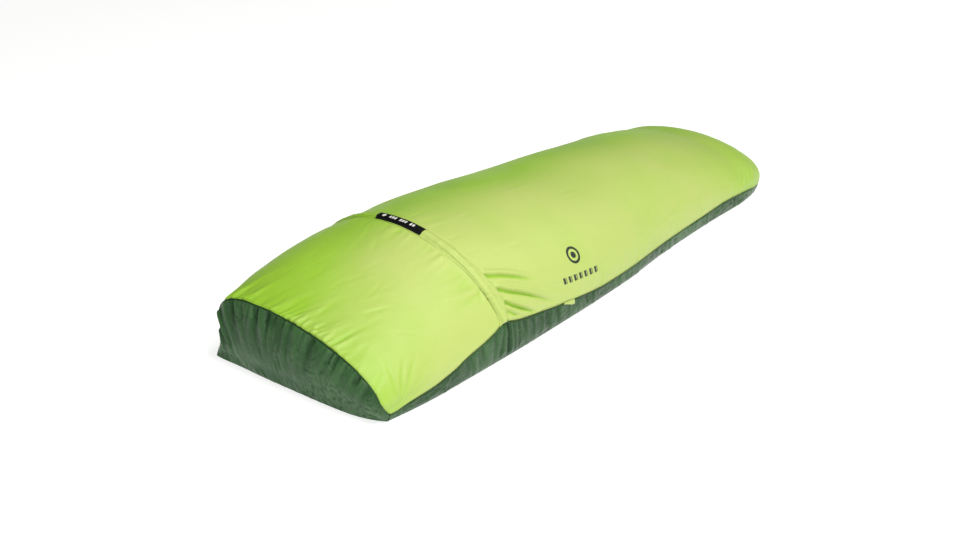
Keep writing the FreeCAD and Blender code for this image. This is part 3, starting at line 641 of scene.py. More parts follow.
def make_canopy():
    nu, nv = 430, 250
    s = 0.5 - 0.5 * np.cos(np.pi * np.linspace(0, 1, nv)); s = 0.35 * s + 0.65 * np.linspace(0, 1, nv)
    xs = solve_plane(s, 11.0, GAP)
    t = np.linspace(0, 1, nu)
    # rows crowd towards the rounded foot
    xg = np.concatenate([np.linspace(0, 0.765, int(nu * .70), endpoint=False), 0.765 + 0.235 * np.sin(np.linspace(0, np.pi / 2, nu - int(nu * .70)))])
    X = xs[None, :] + (FOOT_X - xs[None, :]) * xg[:, None]
    S = np.broadcast_to(s[None, :], X.shape)
    P = top_point(X, S, GAP)
    N = grid_normals(P, (1000, 0, 60))
    D = np.zeros(P.shape[:2])
    # three deep puckers behind the end of the zip
    for pts, a, sg, rd in (([(497, 243), (520, 236), (553, 227), (604, 208), (655, 184), (700, 166)], 12.0, 5.5, 5.5),
                           ([(512, 207), (562, 182), (627, 151), (690, 115), (735, 92)], 13.0, 5.5, 6.0),
                           ([(519, 172), (545, 152), (571, 135), (620, 107), (650, 96)], 11.5, 5.0, 5.5),
                           ([(516, 146), (540, 128), (566, 112)], 7.0, 4.5, 3.5),
                           ([(556, 208), (604, 188), (668, 158)], 1.8, 6.0, 1.2),
                           ([(575, 160), (640, 128), (700, 98)], 1.8, 5.5, 1.2),
                           ([(640, 200), (705, 176), (765, 150)], 1.3, 8.0, 0.9),
                           ([(700, 150), (770, 120), (835, 92)], 1.2, 8.0, 0.8)):
        path = near([p[0] for p in pts], [p[1] for p in pts])
        D += crease(P, N, path, a, sg, rd, t_in=0.06, t_out=0.55, sharp=1.35)
        # the same puckers, a little weaker and higher, behind the zip's left end
        far = skin(path[:, 0] + 8, arc_z(path[:, 0] + 8, path[:, 2] + 34 - 0.12 * (path[:, 0] - 500), 1))
        D += crease(P, N, far, 0.7 * a, sg * 1.1, 0.7 * rd, t_in=0.06, t_out=0.7, sharp=1.35)
    # soft lengthwise tension waves, small wrinkles and slack
    D += 1.6 * value_noise(D.shape, (9, 5), 11) + 0.7 * value_noise(D.shape, (26, 12), 12)
    arc = np.cumsum(np.linalg.norm(np.diff(P, axis=1, prepend=P[:, :1]), axis=-1), axis=1)
    dz = P[..., 0] - xs[None, :]
    # puckers along the zip seam
    D += gathers(arc, dz, 50, 21, (30, 1010), (4, 8), (26, 85), (0.8, 2.2), 0.1) * np.clip((dz - 18) / 14, 0, 1)
    # puckers up from the two side seams
    for base, sg in ((arc, 31), (arc[:, -1:] - arc, 32)):
        D += gathers(P[..., 0], base, 95, sg, (560, 2050), (4, 9), (18, 70), (0.4, 1.4), 0.25)
    # gathers at the foot end
    D += gathers(arc, FOOT_X - P[..., 0], 26, 41, (60, 560), (7, 14), (25, 70), (0.6, 1.6), 0.0) * np.clip((P[..., 0] - 1900) / 90, 0, 1)
    for k in range(9):
        r = np.random.default_rng(300 + k)
        x0 = 1760 + 30 * k + r.uniform(-10, 10); zz = 60 + r.uniform(0, 18)
        path = near([x0, x0 + 40, x0 + 85], [zz, zz + 24 + r.uniform(-6, 10), zz + 40 + r.uniform(-8, 16)])
        D += crease(P, N, path, r.uniform(0.7, 1.8), 6.0, 0.8, t_in=0.2, t_out=0.7)
    # long faint tension lines running back from the flap
    for k in range(34):
        r = np.random.default_rng(500 + k)
        a0 = r.uniform(60, 960); x0 = r.uniform(540, 1700); ln = r.uniform(70, 240); dr = r.normal(0, 0.16)
        tt = np.linspace(0, 1, 4)
        path = skin(x0 + ln * tt, a_r(x0) + a0 + dr * ln * tt)
        D += crease(P, N, path, r.uniform(0.25, 0.9), r.uniform(5, 10), 0.35, t_in=0.35, t_out=0.45)
    fade = np.clip((dz - 2) / 16, 0, 1) * edge_fade(nu, 3)[:, None] ** 0.5
    side = np.minimum(arc, arc[:, -1:] - arc)
    D *= fade * np.clip(side / 5.0, 0, 1)
    # panel edges roll into the seam
    roll = -1.1 * np.exp(-(side / 2.6) ** 2)
    P2 = P + N * (D + roll)[..., None]
    uv = uv_from(P)
    return sheet_mesh("canopy_cloth", P2, 0.5, (1000, 0, 60), [lime_print], uv, fold=D), P2


def make_hood():
    nu, nv = 170, 330
    s = np.linspace(0, 1, nv)
    xa, xb = solve_arch(s, GAP) + 1.2, solve_plane(s, -11.0, GAP)
    t = np.linspace(0, 1, nu); t = 0.5 * t + 0.5 * t ** 1.5
    X = xa[None, :] + (xb - xa)[None, :] * t[:, None]
    S = np.broadcast_to(s[None, :], X.shape)
    P = top_point(X, S, GAP)
    N = grid_normals(P, (250, 0, 60))
    arc = np.cumsum(np.linalg.norm(np.diff(P, axis=1, prepend=P[:, :1]), axis=-1), axis=1)
    d = np.cumsum(np.linalg.norm(np.diff(P, axis=0, prepend=P[:1]), axis=-1), axis=0)
    dz = d[-1:] - d
    D = 1.8 * value_noise(D_shape := P.shape[:2], (4, 6), 61) + 0.5 * value_noise(D_shape, (12, 20), 62)
    L = arc[0, -1]
    # gathers along the head arch, strongest on the far half
    D += gathers(arc, d, 70, 71, (0.28 * L, 0.95 * L), (4.0, 8.5), (24, 85), (1.8, 4.6), -0.25)
    D += gathers(arc, d, 26, 72, (0.05 * L, 0.40 * L), (4.0, 8.0), (20, 55), (0.8, 2.4), 0.25)
    # small puckers along the zip seam
    D += gathers(arc, dz, 52, 73, (0.10 * L, 0.95 * L), (4, 8), (22, 75), (0.9, 2.6), 0.2) * np.clip((dz - 14) / 12, 0, 1)
    # pleats fanning up from the head corner
    for pts, a, sg in (([(52, 40), (72, 80), (100, 122), (140, 160)], 3.6, 6.0),
                       ([(62, 38), (92, 82), (132, 124), (182, 158)], 3.4, 6.5),
                       ([(47, 48), (56, 88), (70, 130), (90, 168)], 2.4, 5.5),
                       ([(80, 46), (118, 80), (166, 112), (220, 138)], 1.8, 7.0),
                       ([(110, 52), (150, 78), (205, 100)], 1.3, 7.0)):
        D += crease(P, N, near([p[0] for p in pts], [p[1] for p in pts]), a, sg, a * 0.55, t_in=0.06, t_out=0.75)
        q = near([p[0] for p in pts], [p[1] for p in pts]); q[:, 1] *= -1
        q = skin(q[:, 0], arc_z(q[:, 0], q[:, 2] + 8, 1))
        D += crease(P, N, q, a * 0.8, sg, a * 0.4, t_in=0.06, t_out=0.75)
    # a short crease near the middle of the arch, and one by the flap's kink
    D += crease(P, N, skin(np.array([12., 26, 44]), a_r(12.) + np.array([330., 336, 330])), 2.6, 6.0, 1.6, t_in=0.2, t_out=0.5)
    D += crease(P, N, near([470, 452, 436], [226, 206, 184]), 2.2, 6.0, 1.4, t_in=0.2, t_out=0.6)
    D += crease(P, N, near([462, 430, 392], [252, 244, 238]), 1.2, 7.0, 0.8, t_in=0.2, t_out=0.6)
    for k in range(26):
        r = np.random.default_rng(700 + k)
        a0 = r.uniform(100, 960); x0 = r.uniform(90, 330); ln = r.uniform(50, 130); dr = r.normal(0, 0.3)
        tt = np.linspace(0, 1, 4)
        D += crease(P, N, skin(x0 + ln * tt, a_r(x0) + a0 + dr * ln * tt), r.uniform(0.2, 0.7), r.uniform(5, 10), 0.3, t_in=0.35, t_out=0.45)
    side = np.minimum(arc, arc[:, -1:] - arc)
    D *= np.clip((dz - 2) / 14, 0, 1) * np.clip(side / 5.0, 0, 1) * np.clip(d / 1.5, 0, 1)
    P2 = P + N * (D - 1.1 * np.exp(-(side / 2.6) ** 2) - 1.0 * np.exp(-(d / 2.4) ** 2))[..., None]
    return sheet_mesh("hood_cloth", P2, 0.5, (250, 0, 60), [lime], uv_from(P), fold=D), P2


def make_wall(side, name):
    nu, nv = 720, 40
    fz = f_sr if side < 0 else f_sl
    xg = np.concatenate([np.linspace(HEAD_X + 0.4, 1860, 600, endpoint=False), 1860 + (FOOT_X - 1860) * np.sin(np.linspace(0, np.pi / 2, nu - 600))])
    a0 = arc_z(xg, 0.8, side)
    a1 = (a_r(xg) if side < 0 else a_l(xg)) + side * GAP
    t = np.linspace(0, 1, nv)
    A = a0[:, None] + (a1 - a0)[:, None] * t[None, :]
    X = np.broadcast_to(xg[:, None], A.shape)
    P = skin(X, A)
    N = grid_normals(P, (1000, 0, 50))
    up = np.abs(A - a0[:, None]); dn = np.abs(a1[:, None] - A); H = (up + dn)
    D = 0.9 * value_noise(A.shape, (40, 3), 81 + side) + 0.6 * value_noise(A.shape, (110, 6), 84 + side)
    # upright wrinkles of the coated cloth, many and short
    D += gathers(X, dn, 130, 91 + side, (60, 2050), (3.5, 8), (25, 80), (0.6, 2.2), 0.35)
    D += gathers(X, dn, 60, 94 + side, (330, 760), (4, 9), (40, 110), (0.8, 2.4), 0.15)
    # the deep crease under the end of the zip
    z = np.array([118., 96, 70, 44, 22, 6])
    if side > 0:
        z = z * 1.35
    for x0, dx, a, sg in ((503, 16, 7.5, 8.0), (522, 22, 3.5, 7.0), (484, -10, 3.0, 7.0), (548, 12, 2.5, 6.0)):
        xx = x0 + dx * (1 - z / z[0])
        zz = np.minimum(z, fz(xx) - 2)
        D += crease(P, N, skin(xx, arc_z(xx, zz, side)), a, sg, a * 0.5, t_in=0.04, t_out=0.25)
    for k in range(120):
        r = np.random.default_rng(1000 + 7 * side + k)
        x0 = r.uniform(60, 2020); ln = r.uniform(14, 60); ang = r.uniform(-1.2, 1.2)
        top = float(fz(x0)); z0 = r.uniform(6, max(top - 6, 8))
        xx = x0 + ln * np.cos(ang) * np.linspace(-.5, .5, 3); zz = np.clip(z0 + ln * np.sin(ang) * np.linspace(-.5, .5, 3), 3, top + 2)
        xx = np.clip(xx, 40, 2068)
        D += crease(P, N, skin(xx, arc_z(xx, zz, side)), r.uniform(0.4, 1.5), r.uniform(2.8, 5), r.uniform(.2, .8), t_in=0.3, t_out=0.4)
    D = np.clip(D, -9, 2.6) * smoothstep((X - HEAD_X) / 55.0)
    D *= np.clip(up / 4.0, 0, 1) * np.clip(dn / 3.0, 0, 1) * edge_fade(nu, 3)[:, None]
    P2 = P + N * (D - 1.0 * np.exp(-(dn / 2.4) ** 2))[..., None]
    P2[..., 2] = np.maximum(P2[..., 2], 0.7)
    uv = np.stack([X / 1000.0, np.abs(A - A[:, :1]) / 1000.0], -1)
    return sheet_mesh(name, P2, 0.5, (1000, 0, 50), [dark], uv, fold=D), P2


def head_floor(s):
    yr = float(skin(HEAD_X, arc_z([HEAD_X], BASE_Z, -1)[0])[1]); yl = float(skin(HEAD_X, arc_z([HEAD_X], BASE_Z, 1)[0])[1])
    k = np.abs(1 - 2 * s)
    return np.stack([HEAD_X * k ** 5 - 1.5 * (1 - k ** 3), yr + (yl - yr) * s, np.full(np.shape(s), BASE_Z)], -1)


def make_head():
    nu, nv = 110, 330
    s = np.linspace(0, 1, nv); s = 0.8 * s + 0.2 * (0.5 - 0.5 * np.cos(np.pi * s))
    xa = solve_arch(s)
    A = top_point(xa, s)
    d = np.stack([A[:, 0], 0.55 * A[:, 1] + 10, np.full(nv, 40.0)], -1) - A
    d /= np.linalg.norm(d, axis=1, keepdims=True)
    corner = smoothstep(np.minimum(s, 1 - s) / 0.035)[:, None]
    T = A + np.array([-1.6, 0, 0]) + corner * d * 1.4 + (1 - corner) * np.array([0, 0, -2.2])
    B = head_floor(s) - np.array([0, 0, 1.2])
    t = np.linspace(0, 1, nu); t = 0.6 * t + 0.4 * (0.5 - 0.5 * np.cos(np.pi * t))
    P = T[None] * (1 - t)[:, None, None] + B[None] * t[:, None, None]
    k = (4 * s * (1 - s)) ** 0.6
    P[..., 0] -= HEAD_BULGE * k[None, :] * (np.sin(np.pi * t) ** 0.75 * (1 - .25 * t - .38 * t ** 3))[:, None]
    N = grid_normals(P, (300, 0, 80))
    arc = np.cumsum(np.linalg.norm(np.diff(P, axis=1, prepend=P[:, :1]), axis=-1), axis=1)
    down = np.cumsum(np.linalg.norm(np.diff(P, axis=0, prepend=P[:1]), axis=-1), axis=0)
    upw = down[-1:] - down
    ar = np.broadcast_to(arc[:1], arc.shape); L = ar[0, -1]
    D = 2.0 * value_noise(P.shape[:2], (3, 7), 111) + 0.8 * value_noise(P.shape[:2], (9, 22), 112)
    # gathers hanging from the arch seam
    D += gathers(ar, down, 120, 121, (0.12 * L, 0.95 * L), (3.2, 7.5), (24, 85), (1.6, 4.4), 0.08)
    D += gathers(ar, down, 13, 122, (0.42 * L, 0.93 * L), (8.0, 14.0), (60, 120), (2.5, 5.5), 0.12)
    D += gathers(ar, upw, 40, 123, (0.05 * L, 0.95 * L), (4.0, 9.0), (18, 50), (0.4, 1.3), 0.2)
    # fine crumples, thicker towards the near corner
    for k2 in range(190):
        r = np.random.default_rng(2000 + k2)
        i = r.integers(6, nu - 6); j = int(nv * (r.uniform(0.03, 0.97) if k2 % 2 else r.uniform(0.03, 0.45)))
        ln = r.uniform(14, 60); ang = r.normal(1.35, 0.5)
        di, dj = ln * math.sin(ang) / 2.0, ln * math.cos(ang) / 3.0
        ii = np.clip(i + di * np.linspace(-.5, .5, 3), 1, nu - 2).astype(int); jj = np.clip(j + dj * np.linspace(-.5, .5, 3), 1, nv - 2).astype(int)
        path = P[ii, jj]
        if np.linalg.norm(path[2] - path[0]) < 4 or np.linalg.norm(path[1] - path[0]) < 1 or np.linalg.norm(path[2] - path[1]) < 1:
            continue
        D += crease(P, N, path, r.uniform(0.5, 2.0), r.uniform(2.8, 5.5), r.uniform(.3, 1.0), t_in=0.3, t_out=0.4)
    D = 7.5 * np.tanh(D / 8.5) + np.clip(D, -7, 4) * 0.2
    side = np.minimum(ar, L - ar)
    D *= np.clip(down / 4.0, 0, 1) * np.clip(upw / 6.0, 0, 1) * smoothstep(side / 55.0)
    P2 = P + N * (D - 1.0 * np.exp(-(down / 2.4) ** 2))[..., None]
    P2[..., 2] = np.maximum(P2[..., 2], 0.7)
    uv = np.stack([arc / 1000.0, down / 1000.0], -1)
    return sheet_mesh("head_end_cloth", P2, 0.5, (300, 0, 80), [dark], uv, fold=D), P2


def foot_outline():
    c = top_point(np.full(240, FOOT_X), np.linspace(0, 1, 240))
    return c


def make_foot():
    a0, a1 = float(arc_z([FOOT_X], BASE_Z, -1)[0]), float(arc_z([FOOT_X], BASE_Z, 1)[0])
    nv, nu = 120, 16
    c = skin(np.full(nv, FOOT_X), np.linspace(a0, a1, nv))         # outline over the top
    bot = np.stack([np.full(nv, FOOT_X), np.linspace(c[0, 1], c[-1, 1], nv), np.full(nv, 0.8)], -1)
    t = np.linspace(0, 1, nu)
    mid = np.array([FOOT_X, c[:, 1].mean(), 18.0])
    c2 = mid + (c - mid) * np.array([1, .985, .94])
    P = bot[None] * (1 - t)[:, None, None] + c2[None] * t[:, None, None]
    k = np.abs(np.linspace(-1, 1, nv))
    P[..., 0] += 0.8 + (6.5 * (1 - k ** 3))[None, :] * (np.sin(np.pi * (0.12 + 0.83 * t)) ** 0.8)[:, None]
    D = 0.8 * value_noise(P.shape[:2], (3, 12), 131)
    P[..., 0] += D * (np.sin(np.pi * t))[:, None] * np.clip((1 - k) * 6, 0, 1)[None, :]
    P = P[:, 2:-2]
    uv = np.stack([P[..., 1] / 1000, P[..., 2] / 1000], -1)
    return sheet_mesh("foot_end_cloth", P, 0.5, (1900, 0, 20), [dark], uv), P


def make_floor():
    nx, ny = 420, 120
    xg = np.linspace(-1.4, FOOT_X - 0.3, nx)
    sh = np.linspace(0, 1, 401); hf = head_floor(sh)
    xr = np.linspace(HEAD_X, FOOT_X, 500)
    yr_ = skin(xr, arc_z(xr, BASE_Z, -1))[:, 1]; yl_ = skin(xr, arc_z(xr, BASE_Z, 1))[:, 1]
    lo = np.where(xg >= HEAD_X, np.interp(xg, xr, yr_), 0); hi = np.where(xg >= HEAD_X, np.interp(xg, xr, yl_), 0)
    half = 200
    for i, x in enumerate(xg):
        if x < HEAD_X:
            a = hf[:half + 1]; b = hf[half:]
            lo[i] = np.interp(-x, -a[:, 0], a[:, 1]); hi[i] = np.interp(x, b[:, 0], b[:, 1])
    lo, hi = lo + 1.2, hi - 1.2
    lo[0], hi[0] = lo[1] * 0.45, hi[1] * 0.45
    t = np.linspace(0, 1, ny)
    X = np.broadcast_to(xg[:, None], (nx, ny)); Y = lo[:, None] + (hi - lo)[:, None] * t[None, :]
    D = 1.2 * value_noise(X.shape, (36, 12), 141) + 0.7 * value_noise(X.shape, (90, 30), 142)
    side = np.minimum(np.abs(Y - lo[:, None]), np.abs(hi[:, None] - Y))
    Z = 1.3 + np.clip(D + 0.7, 0, 4) * np.clip(side / 25, 0, 1)
    P = np.stack([X, Y, Z], -1)
    uv = np.stack([X / 1000, Y / 1000], -1)
    return sheet_mesh("floor_cloth", P, 1.0, (1000, 0, -500), [dark], uv), P


canopy, Pc = make_canopy()
hood, Ph = make_hood()
wall_r, Pr = make_wall(-1, "right_wall_cloth")
wall_l, Pl = make_wall(1, "left_wall_cloth")
head, Pe = make_head()
foot, Pf = make_foot()
floor, Pg = make_floor()


# ------------------------------------------------------------------ seams and stitches
def join(name, chunks, mats, uv=True):
    """chunks: list of (verts, quads, tris); one mesh."""
    vs, qs, off = [], [], 0
    for v, q, t in chunks:
        vs.append(v); qs.append(q + off)
        if t is not None and len(t):
            qs.append(np.concatenate([t, t[:, 2:3]], 1) + off)
        off += len(v)
    V = np.concatenate(vs)
    faces = [tuple(int(i) for i in (f if f[2] != f[3] else f[:3])) for f in np.concatenate(qs)]
    me = bpy.data.meshes.new(name)
    me.from_pydata([tuple(p) for p in V.tolist()], [], faces)
    layer = me.uv_layers.new(name="UVMap")
    li = np.empty(len(me.loops), np.int32); me.loops.foreach_get("vertex_index", li)
    Vu = np.asarray(V)[:, :2]
    layer.data.foreach_set("uv", np.asarray(Vu, np.float32)[li].ravel())
    me.polygons.foreach_set("use_smooth", np.ones(len(me.polygons), bool))
    for m in mats:
        me.materials.append(m)
    ob = bpy.data.objects.new(name, me); bpy.context.scene.collection.objects.link(ob)
    return ob


def sweep(path, normals_, prof):
    T = np.gradient(path, axis=0); T /= np.linalg.norm(T, axis=1, keepdims=True)
    Nn = normals_ - (normals_ * T).sum(1, keepdims=True) * T; Nn /= np.linalg.norm(Nn, axis=1, keepdims=True)
    B = np.cross(T, Nn)
    n = len(path)
    if prof.ndim == 2:
        prof = np.broadcast_to(prof, (n,) + prof.shape)
    k = prof.shape[1]
    V = path[:, None] + B[:, None] * prof[..., :1] + Nn[:, None] * prof[..., 1:]
    idx = np.arange(n * k).reshape(n, k); nx = np.roll(idx, -1, axis=1)
    q = np.stack([idx[:-1], nx[:-1], nx[1:], idx[1:]], -1).reshape(-1, 4)
    c0, c1 = n * k, n * k + 1
    cap0 = np.stack([nx[0], idx[0], np.full(k, c0)], -1); cap1 = np.stack([idx[-1], nx[-1], np.full(k, c1)], -1)
    area = 0.5 * np.sum(prof[0, :, 0] * np.roll(prof[0, :, 1], -1) - np.roll(prof[0, :, 0], -1) * prof[0, :, 1])
    # T x N x ... : with B = T x N the frame (B, N, -T) is right-handed
    if area > 0:
        q, cap0, cap1 = q[:, ::-1], cap0[:, ::-1], cap1[:, ::-1]
    mid0 = V[0].mean(0, keepdims=True); mid1 = V[-1].mean(0, keepdims=True)
    return row(np.concatenate([V.reshape(-1, 3), mid0, mid1])), q, np.concatenate([cap0, cap1])


def ellipse(w, h, k=10, c=0.0):
    a = np.linspace(0, 2 * np.pi, k, endpoint=False)
    return np.stack([w / 2 * np.cos(a), c + h / 2 * np.sin(a)], -1)


def resample(path, step, *more):
    d = np.concatenate([[0], np.cumsum(np.linalg.norm(np.diff(path, axis=0), axis=1))])
    n = max(int(d[-1] / step), 3); t = np.linspace(0, d[-1], n)
    out = [np.stack([np.interp(t, d, p[:, k]) for k in range(3)], -1) for p in (path,) + more]
    return out


def stitches(path, nrm, pitch=4.2, length=2.9, width=0.55, lift=0.15):
    """A row of thread stitches lying on the cloth."""
    path, nrm = resample(path, 1.0, nrm)
    d = np.concatenate([[0], np.cumsum(np.linalg.norm(np.diff(path, axis=0), axis=1))])
    chunks = []
    prof0 = ellipse(1, 1, 5)
    for s0 in np.arange(1.0, d[-1] - length - 1.0, pitch):
        t = s0 + length * np.array([0, .18, .5, .82, 1.0])
        p = np.stack([np.interp(t, d, path[:, k]) for k in range(3)], -1)
        n = np.stack([np.interp(t, d, nrm[:, k]) for k in range(3)], -1)
        sc = width * np.array([.35, .9, 1.0, .9, .35])
        hh = np.array([-.25, .1, .2, .1, -.25]) + lift
        p = p + n * hh[:, None]
        chunks.append(sweep(p, n, prof0[None] * sc[:, None, None]))
    return chunks


def seam_path(side):
    x = np.concatenate([np.linspace(HEAD_X + 2, 1900, 620, endpoint=False), 1900 + (FOOT_X - 1 - 1900) * np.sin(np.linspace(0, np.pi / 2, 60))])
    a = a_r(x) if side < 0 else a_l(x)
    p = skin(x, a)
    q = skin(x, a + 2.0) - skin(x, a - 2.0)
    n = np.cross(np.gradient(p, axis=0), q); n /= np.linalg.norm(n, axis=1, keepdims=True)
    c = np.array([1000.0, 0, 50]); m = (n * (p - np.stack([p[:, 0], np.zeros(len(p)), np.full(len(p), 45.0)], -1))).sum(1)
    n[m < 0] *= -1
    return p, n


seams, seam_stitch = {}, []
for side, nm in ((-1, "right_side_ridge"), (1, "left_side_ridge")):
    p, n = seam_path(side)
    w = 2.6 + 0.25 * np.sin(np.arange(len(p)) * 0.9)
    prof = ellipse(1, 1, 10)[None] * np.stack([w, np.full(len(p), 2.0)], -1)[:, None, :]
    seams[nm] = join(nm, [sweep(p - n * 0.75, n, prof)], [seam_mat])
arch_s = np.linspace(0.004, 0.996, 420)
_x = solve_arch(arch_s); _pa = top_point(_x, arch_s)
_na = _pa - np.stack([np.full(len(_pa), 60.0), 0.55 * _pa[:, 1] + 10, np.full(len(_pa), 60.0)], -1)
_na /= np.linalg.norm(_na, axis=1, keepdims=True)
seams["head_ridge"] = join("head_ridge", [sweep(_pa + np.array([-.8, 0, 0]) - _na * 0.5, _na, ellipse(2.2, 2.0))], [dark])
_c = skin(np.full(160, FOOT_X), np.linspace(float(arc_z([FOOT_X], 6, -1)[0]), float(arc_z([FOOT_X], 6, 1)[0]), 160))
_nf = _c - np.array([FOOT_X - 30, _c[:, 1].mean(), 10]); _nf /= np.linalg.norm(_nf, axis=1, keepdims=True)
seams["foot_ridge"] = join("foot_ridge", [sweep(_c + np.array([0.6, 0, 0]) - _nf * 0.5, _nf, ellipse(2.4, 2.0))], [seam_mat])

# top-stitching beside the seams, following the finished cloth
def rows_of(P, which, offset_mm, centre):
    """A line on sheet P parallel to one edge, with normals."""
    N = grid_normals(P, centre)
    if which in ("v0", "v1"):
        Q, M = (P, N) if which == "v0" else (P[:, ::-1], N[:, ::-1])
    else:
        Q, M = (P.transpose(1, 0, 2), N.transpose(1, 0, 2)) if which == "u0" else (P[::-1].transpose(1, 0, 2), N[::-1].transpose(1, 0, 2))
    d = np.concatenate([np.zeros((len(Q), 1)), np.cumsum(np.linalg.norm(np.diff(Q, axis=1), axis=-1), axis=1)], axis=1)
    j = np.array([np.searchsorted(r, offset_mm) for r in d]).clip(1, Q.shape[1] - 1)
    i = np.arange(len(Q))
    t = (offset_mm - d[i, j - 1]) / np.maximum(d[i, j] - d[i, j - 1], 1e-6)
    p = Q[i, j - 1] + (Q[i, j] - Q[i, j - 1]) * t[:, None]
    return p, M[i, j]


st = []
for P, e in ((Pc, "v0"), (Pc, "v1")):
    st += stitches(*rows_of(P, e, 5.0, (1000, 0, 60)))
stitch_canopy = join("canopy_side_stitching", st, [thread])
st = []
for e in ("v0", "v1"):
    st += stitches(*rows_of(Ph, e, 5.0, (250, 0, 60)))
st += stitches(*rows_of(Ph, "u0", 5.0, (250, 0, 60)))
stitch_hood = join("hood_side_stitching", st, [thread])
print("SCENE part 2 done")

# ------------------------------------------------------------------ storm flap and label
f_hood = pchip([-64.2, -61, -56.5, -51.5, -47, -37, -32, -2, 30, 49.6], [-24, -18, -15, -14, -14.5, -16.5, -19, -22.5, -22, -21])
f_foot = pchip([-64.2, -61, -56.5, -51.5, -47, -37, -32, -2, 30, 49.6], [5, 20, 31, 36, 33, 26, 23, 14.5, 23, 23])
F0, F1 = -64.0, 49.6
fl_deg = np.linspace(F0, F1, 430)


def flap_height(deg, q, n):
    """Height of the flap over the cloth: sewn at q = 0, free at q = 1, lifted over the coil."""
    h = 1.0 + 6.6 * smoothstep((n + 15.5) / 8.5) * smoothstep((16.5 - n) / 9.0)
    h = np.maximum(h, 1.0 + 2.2 * np.sin(np.pi * q) ** 0.8)
    h = h * (1 - 0.7 * smoothstep((-61.8 - deg) / 2.2))
    return h


def make_flap():
    nq = 34
    q = np.linspace(0, 1, nq)
    G = np.broadcast_to(fl_deg[:, None], (len(fl_deg), nq))
    wob = 1.3 * value_noise((len(fl_deg), 1), (30, 1), 151)[:, :1]
    n = f_hood(fl_deg)[:, None] + wob * 0.6 + (f_foot(fl_deg)[:, None] + wob - f_hood(fl_deg)[:, None]) * q[None]
    B = band_point(G, n)
    er, _ = zip_frame(G)
    H = flap_height(G, q[None], n)
    # soft dents between stitches, slack near the kink, and stitched-down rows near both edges
    H = H + 0.8 * value_noise(G.shape, (64, 3), 154) * np.sin(np.pi * q)[None] ** 0.5 + 0.45 * value_noise(G.shape, (52, 4), 152) * np.sin(np.pi * q)[None] ** 0.5 + 0.5 * value_noise(G.shape, (17, 2), 153)
    H -= 0.5 * np.exp(-((q - 0.14) / 0.045) ** 2)[None] + 0.4 * np.exp(-((q - 0.87) / 0.045) ** 2)[None]
    kink = np.exp(-((G + 50.5) / 3.0) ** 2)
    H += kink * (1.4 * np.sin(G * 2.4 + q[None] * 3))
    H = np.maximum(H, 0.7)
    P = B + er * H[..., None]
    d = np.concatenate([[0], np.cumsum(np.linalg.norm(np.diff(P[:, 17], axis=0), axis=1))])
    uv = np.stack([np.broadcast_to(d[:, None], G.shape) / 1000, n / 1000], -1)
    th = 0.9 + 0.0 * q
    return sheet_mesh("storm_flap_cloth", P, 0.9, tuple(ZC), [lime], uv), P


flap, Pflap = make_flap()
hem = join("storm_flap_stitching", stitches(*rows_of(Pflap, "v0", 4.6, tuple(ZC)), pitch=4.0) +
           stitches(*rows_of(Pflap, "v1", 4.6, tuple(ZC)), pitch=4.0) + stitches(*rows_of(Pflap, "v0", 8.0, tuple(ZC)), pitch=4.0), [thread])


def label_material():
    m, nt, b = new_mat("woven_label")
    L = nt.links.new
    uv = node(nt, "ShaderNodeTexCoord").outputs["UV"]
    sep = node(nt, "ShaderNodeSeparateXYZ"); L(uv, sep.inputs[0])
    u, v = sep.outputs[0], sep.outputs[1]      # metres along and across
    ph = math_node(nt, "FRACT", math_node(nt, "DIVIDE", u, 0.0095))
    ph2 = math_node(nt, "FRACT", math_node(nt, "DIVIDE", u, 0.038))
    bar = math_node(nt, "MULTIPLY", math_node(nt, "LESS_THAN", ph, 0.66), math_node(nt, "GREATER_THAN", ph2, 0.2))
    inu = math_node(nt, "LESS_THAN", math_node(nt, "ABSOLUTE", math_node(nt, "SUBTRACT", u, 0.092)), 0.050)
    inv = math_node(nt, "LESS_THAN", math_node(nt, "ABSOLUTE", math_node(nt, "SUBTRACT", v, 0.0175)), 0.0055)
    du = math_node(nt, "SUBTRACT", u, 0.026); dv = math_node(nt, "SUBTRACT", v, 0.0175)
    dot = math_node(nt, "LESS_THAN", math_node(nt, "SQRT", math_node(nt, "ADD", math_node(nt, "MULTIPLY", du, du), math_node(nt, "MULTIPLY", dv, dv))), 0.0065)
    mask = math_node(nt, "MAXIMUM", math_node(nt, "MULTIPLY", math_node(nt, "MULTIPLY", bar, inu), inv), dot)
    w = math_node(nt, "SINE", math_node(nt, "MULTIPLY", v, 2 * math.pi / 0.0006))
    w2 = math_node(nt, "SINE", math_node(nt, "MULTIPLY", u, 2 * math.pi / 0.0009))
    mx = node(nt, "ShaderNodeMix", data_type="RGBA", blend_type="MIX")
    L(mask, mx.inputs["Factor"]); mx.inputs["A"].default_value = (0.0035, 0.0035, 0.004, 1); mx.inputs["B"].default_value = (0.75, 0.76, 0.74, 1)
    L(mx.outputs["Result"], b.inputs["Base Color"])
    bp = node(nt, "ShaderNodeBump"); bp.inputs["Strength"].default_value = 0.6; bp.inputs["Distance"].default_value = 0.0002
    L(math_node(nt, "MULTIPLY", w, w2), bp.inputs["Height"]); L(bp.outputs[0], b.inputs["Normal"])
    b.inputs["Roughness"].default_value = 0.6
    b.inputs["Specular IOR Level"].default_value = 0.12
    return m


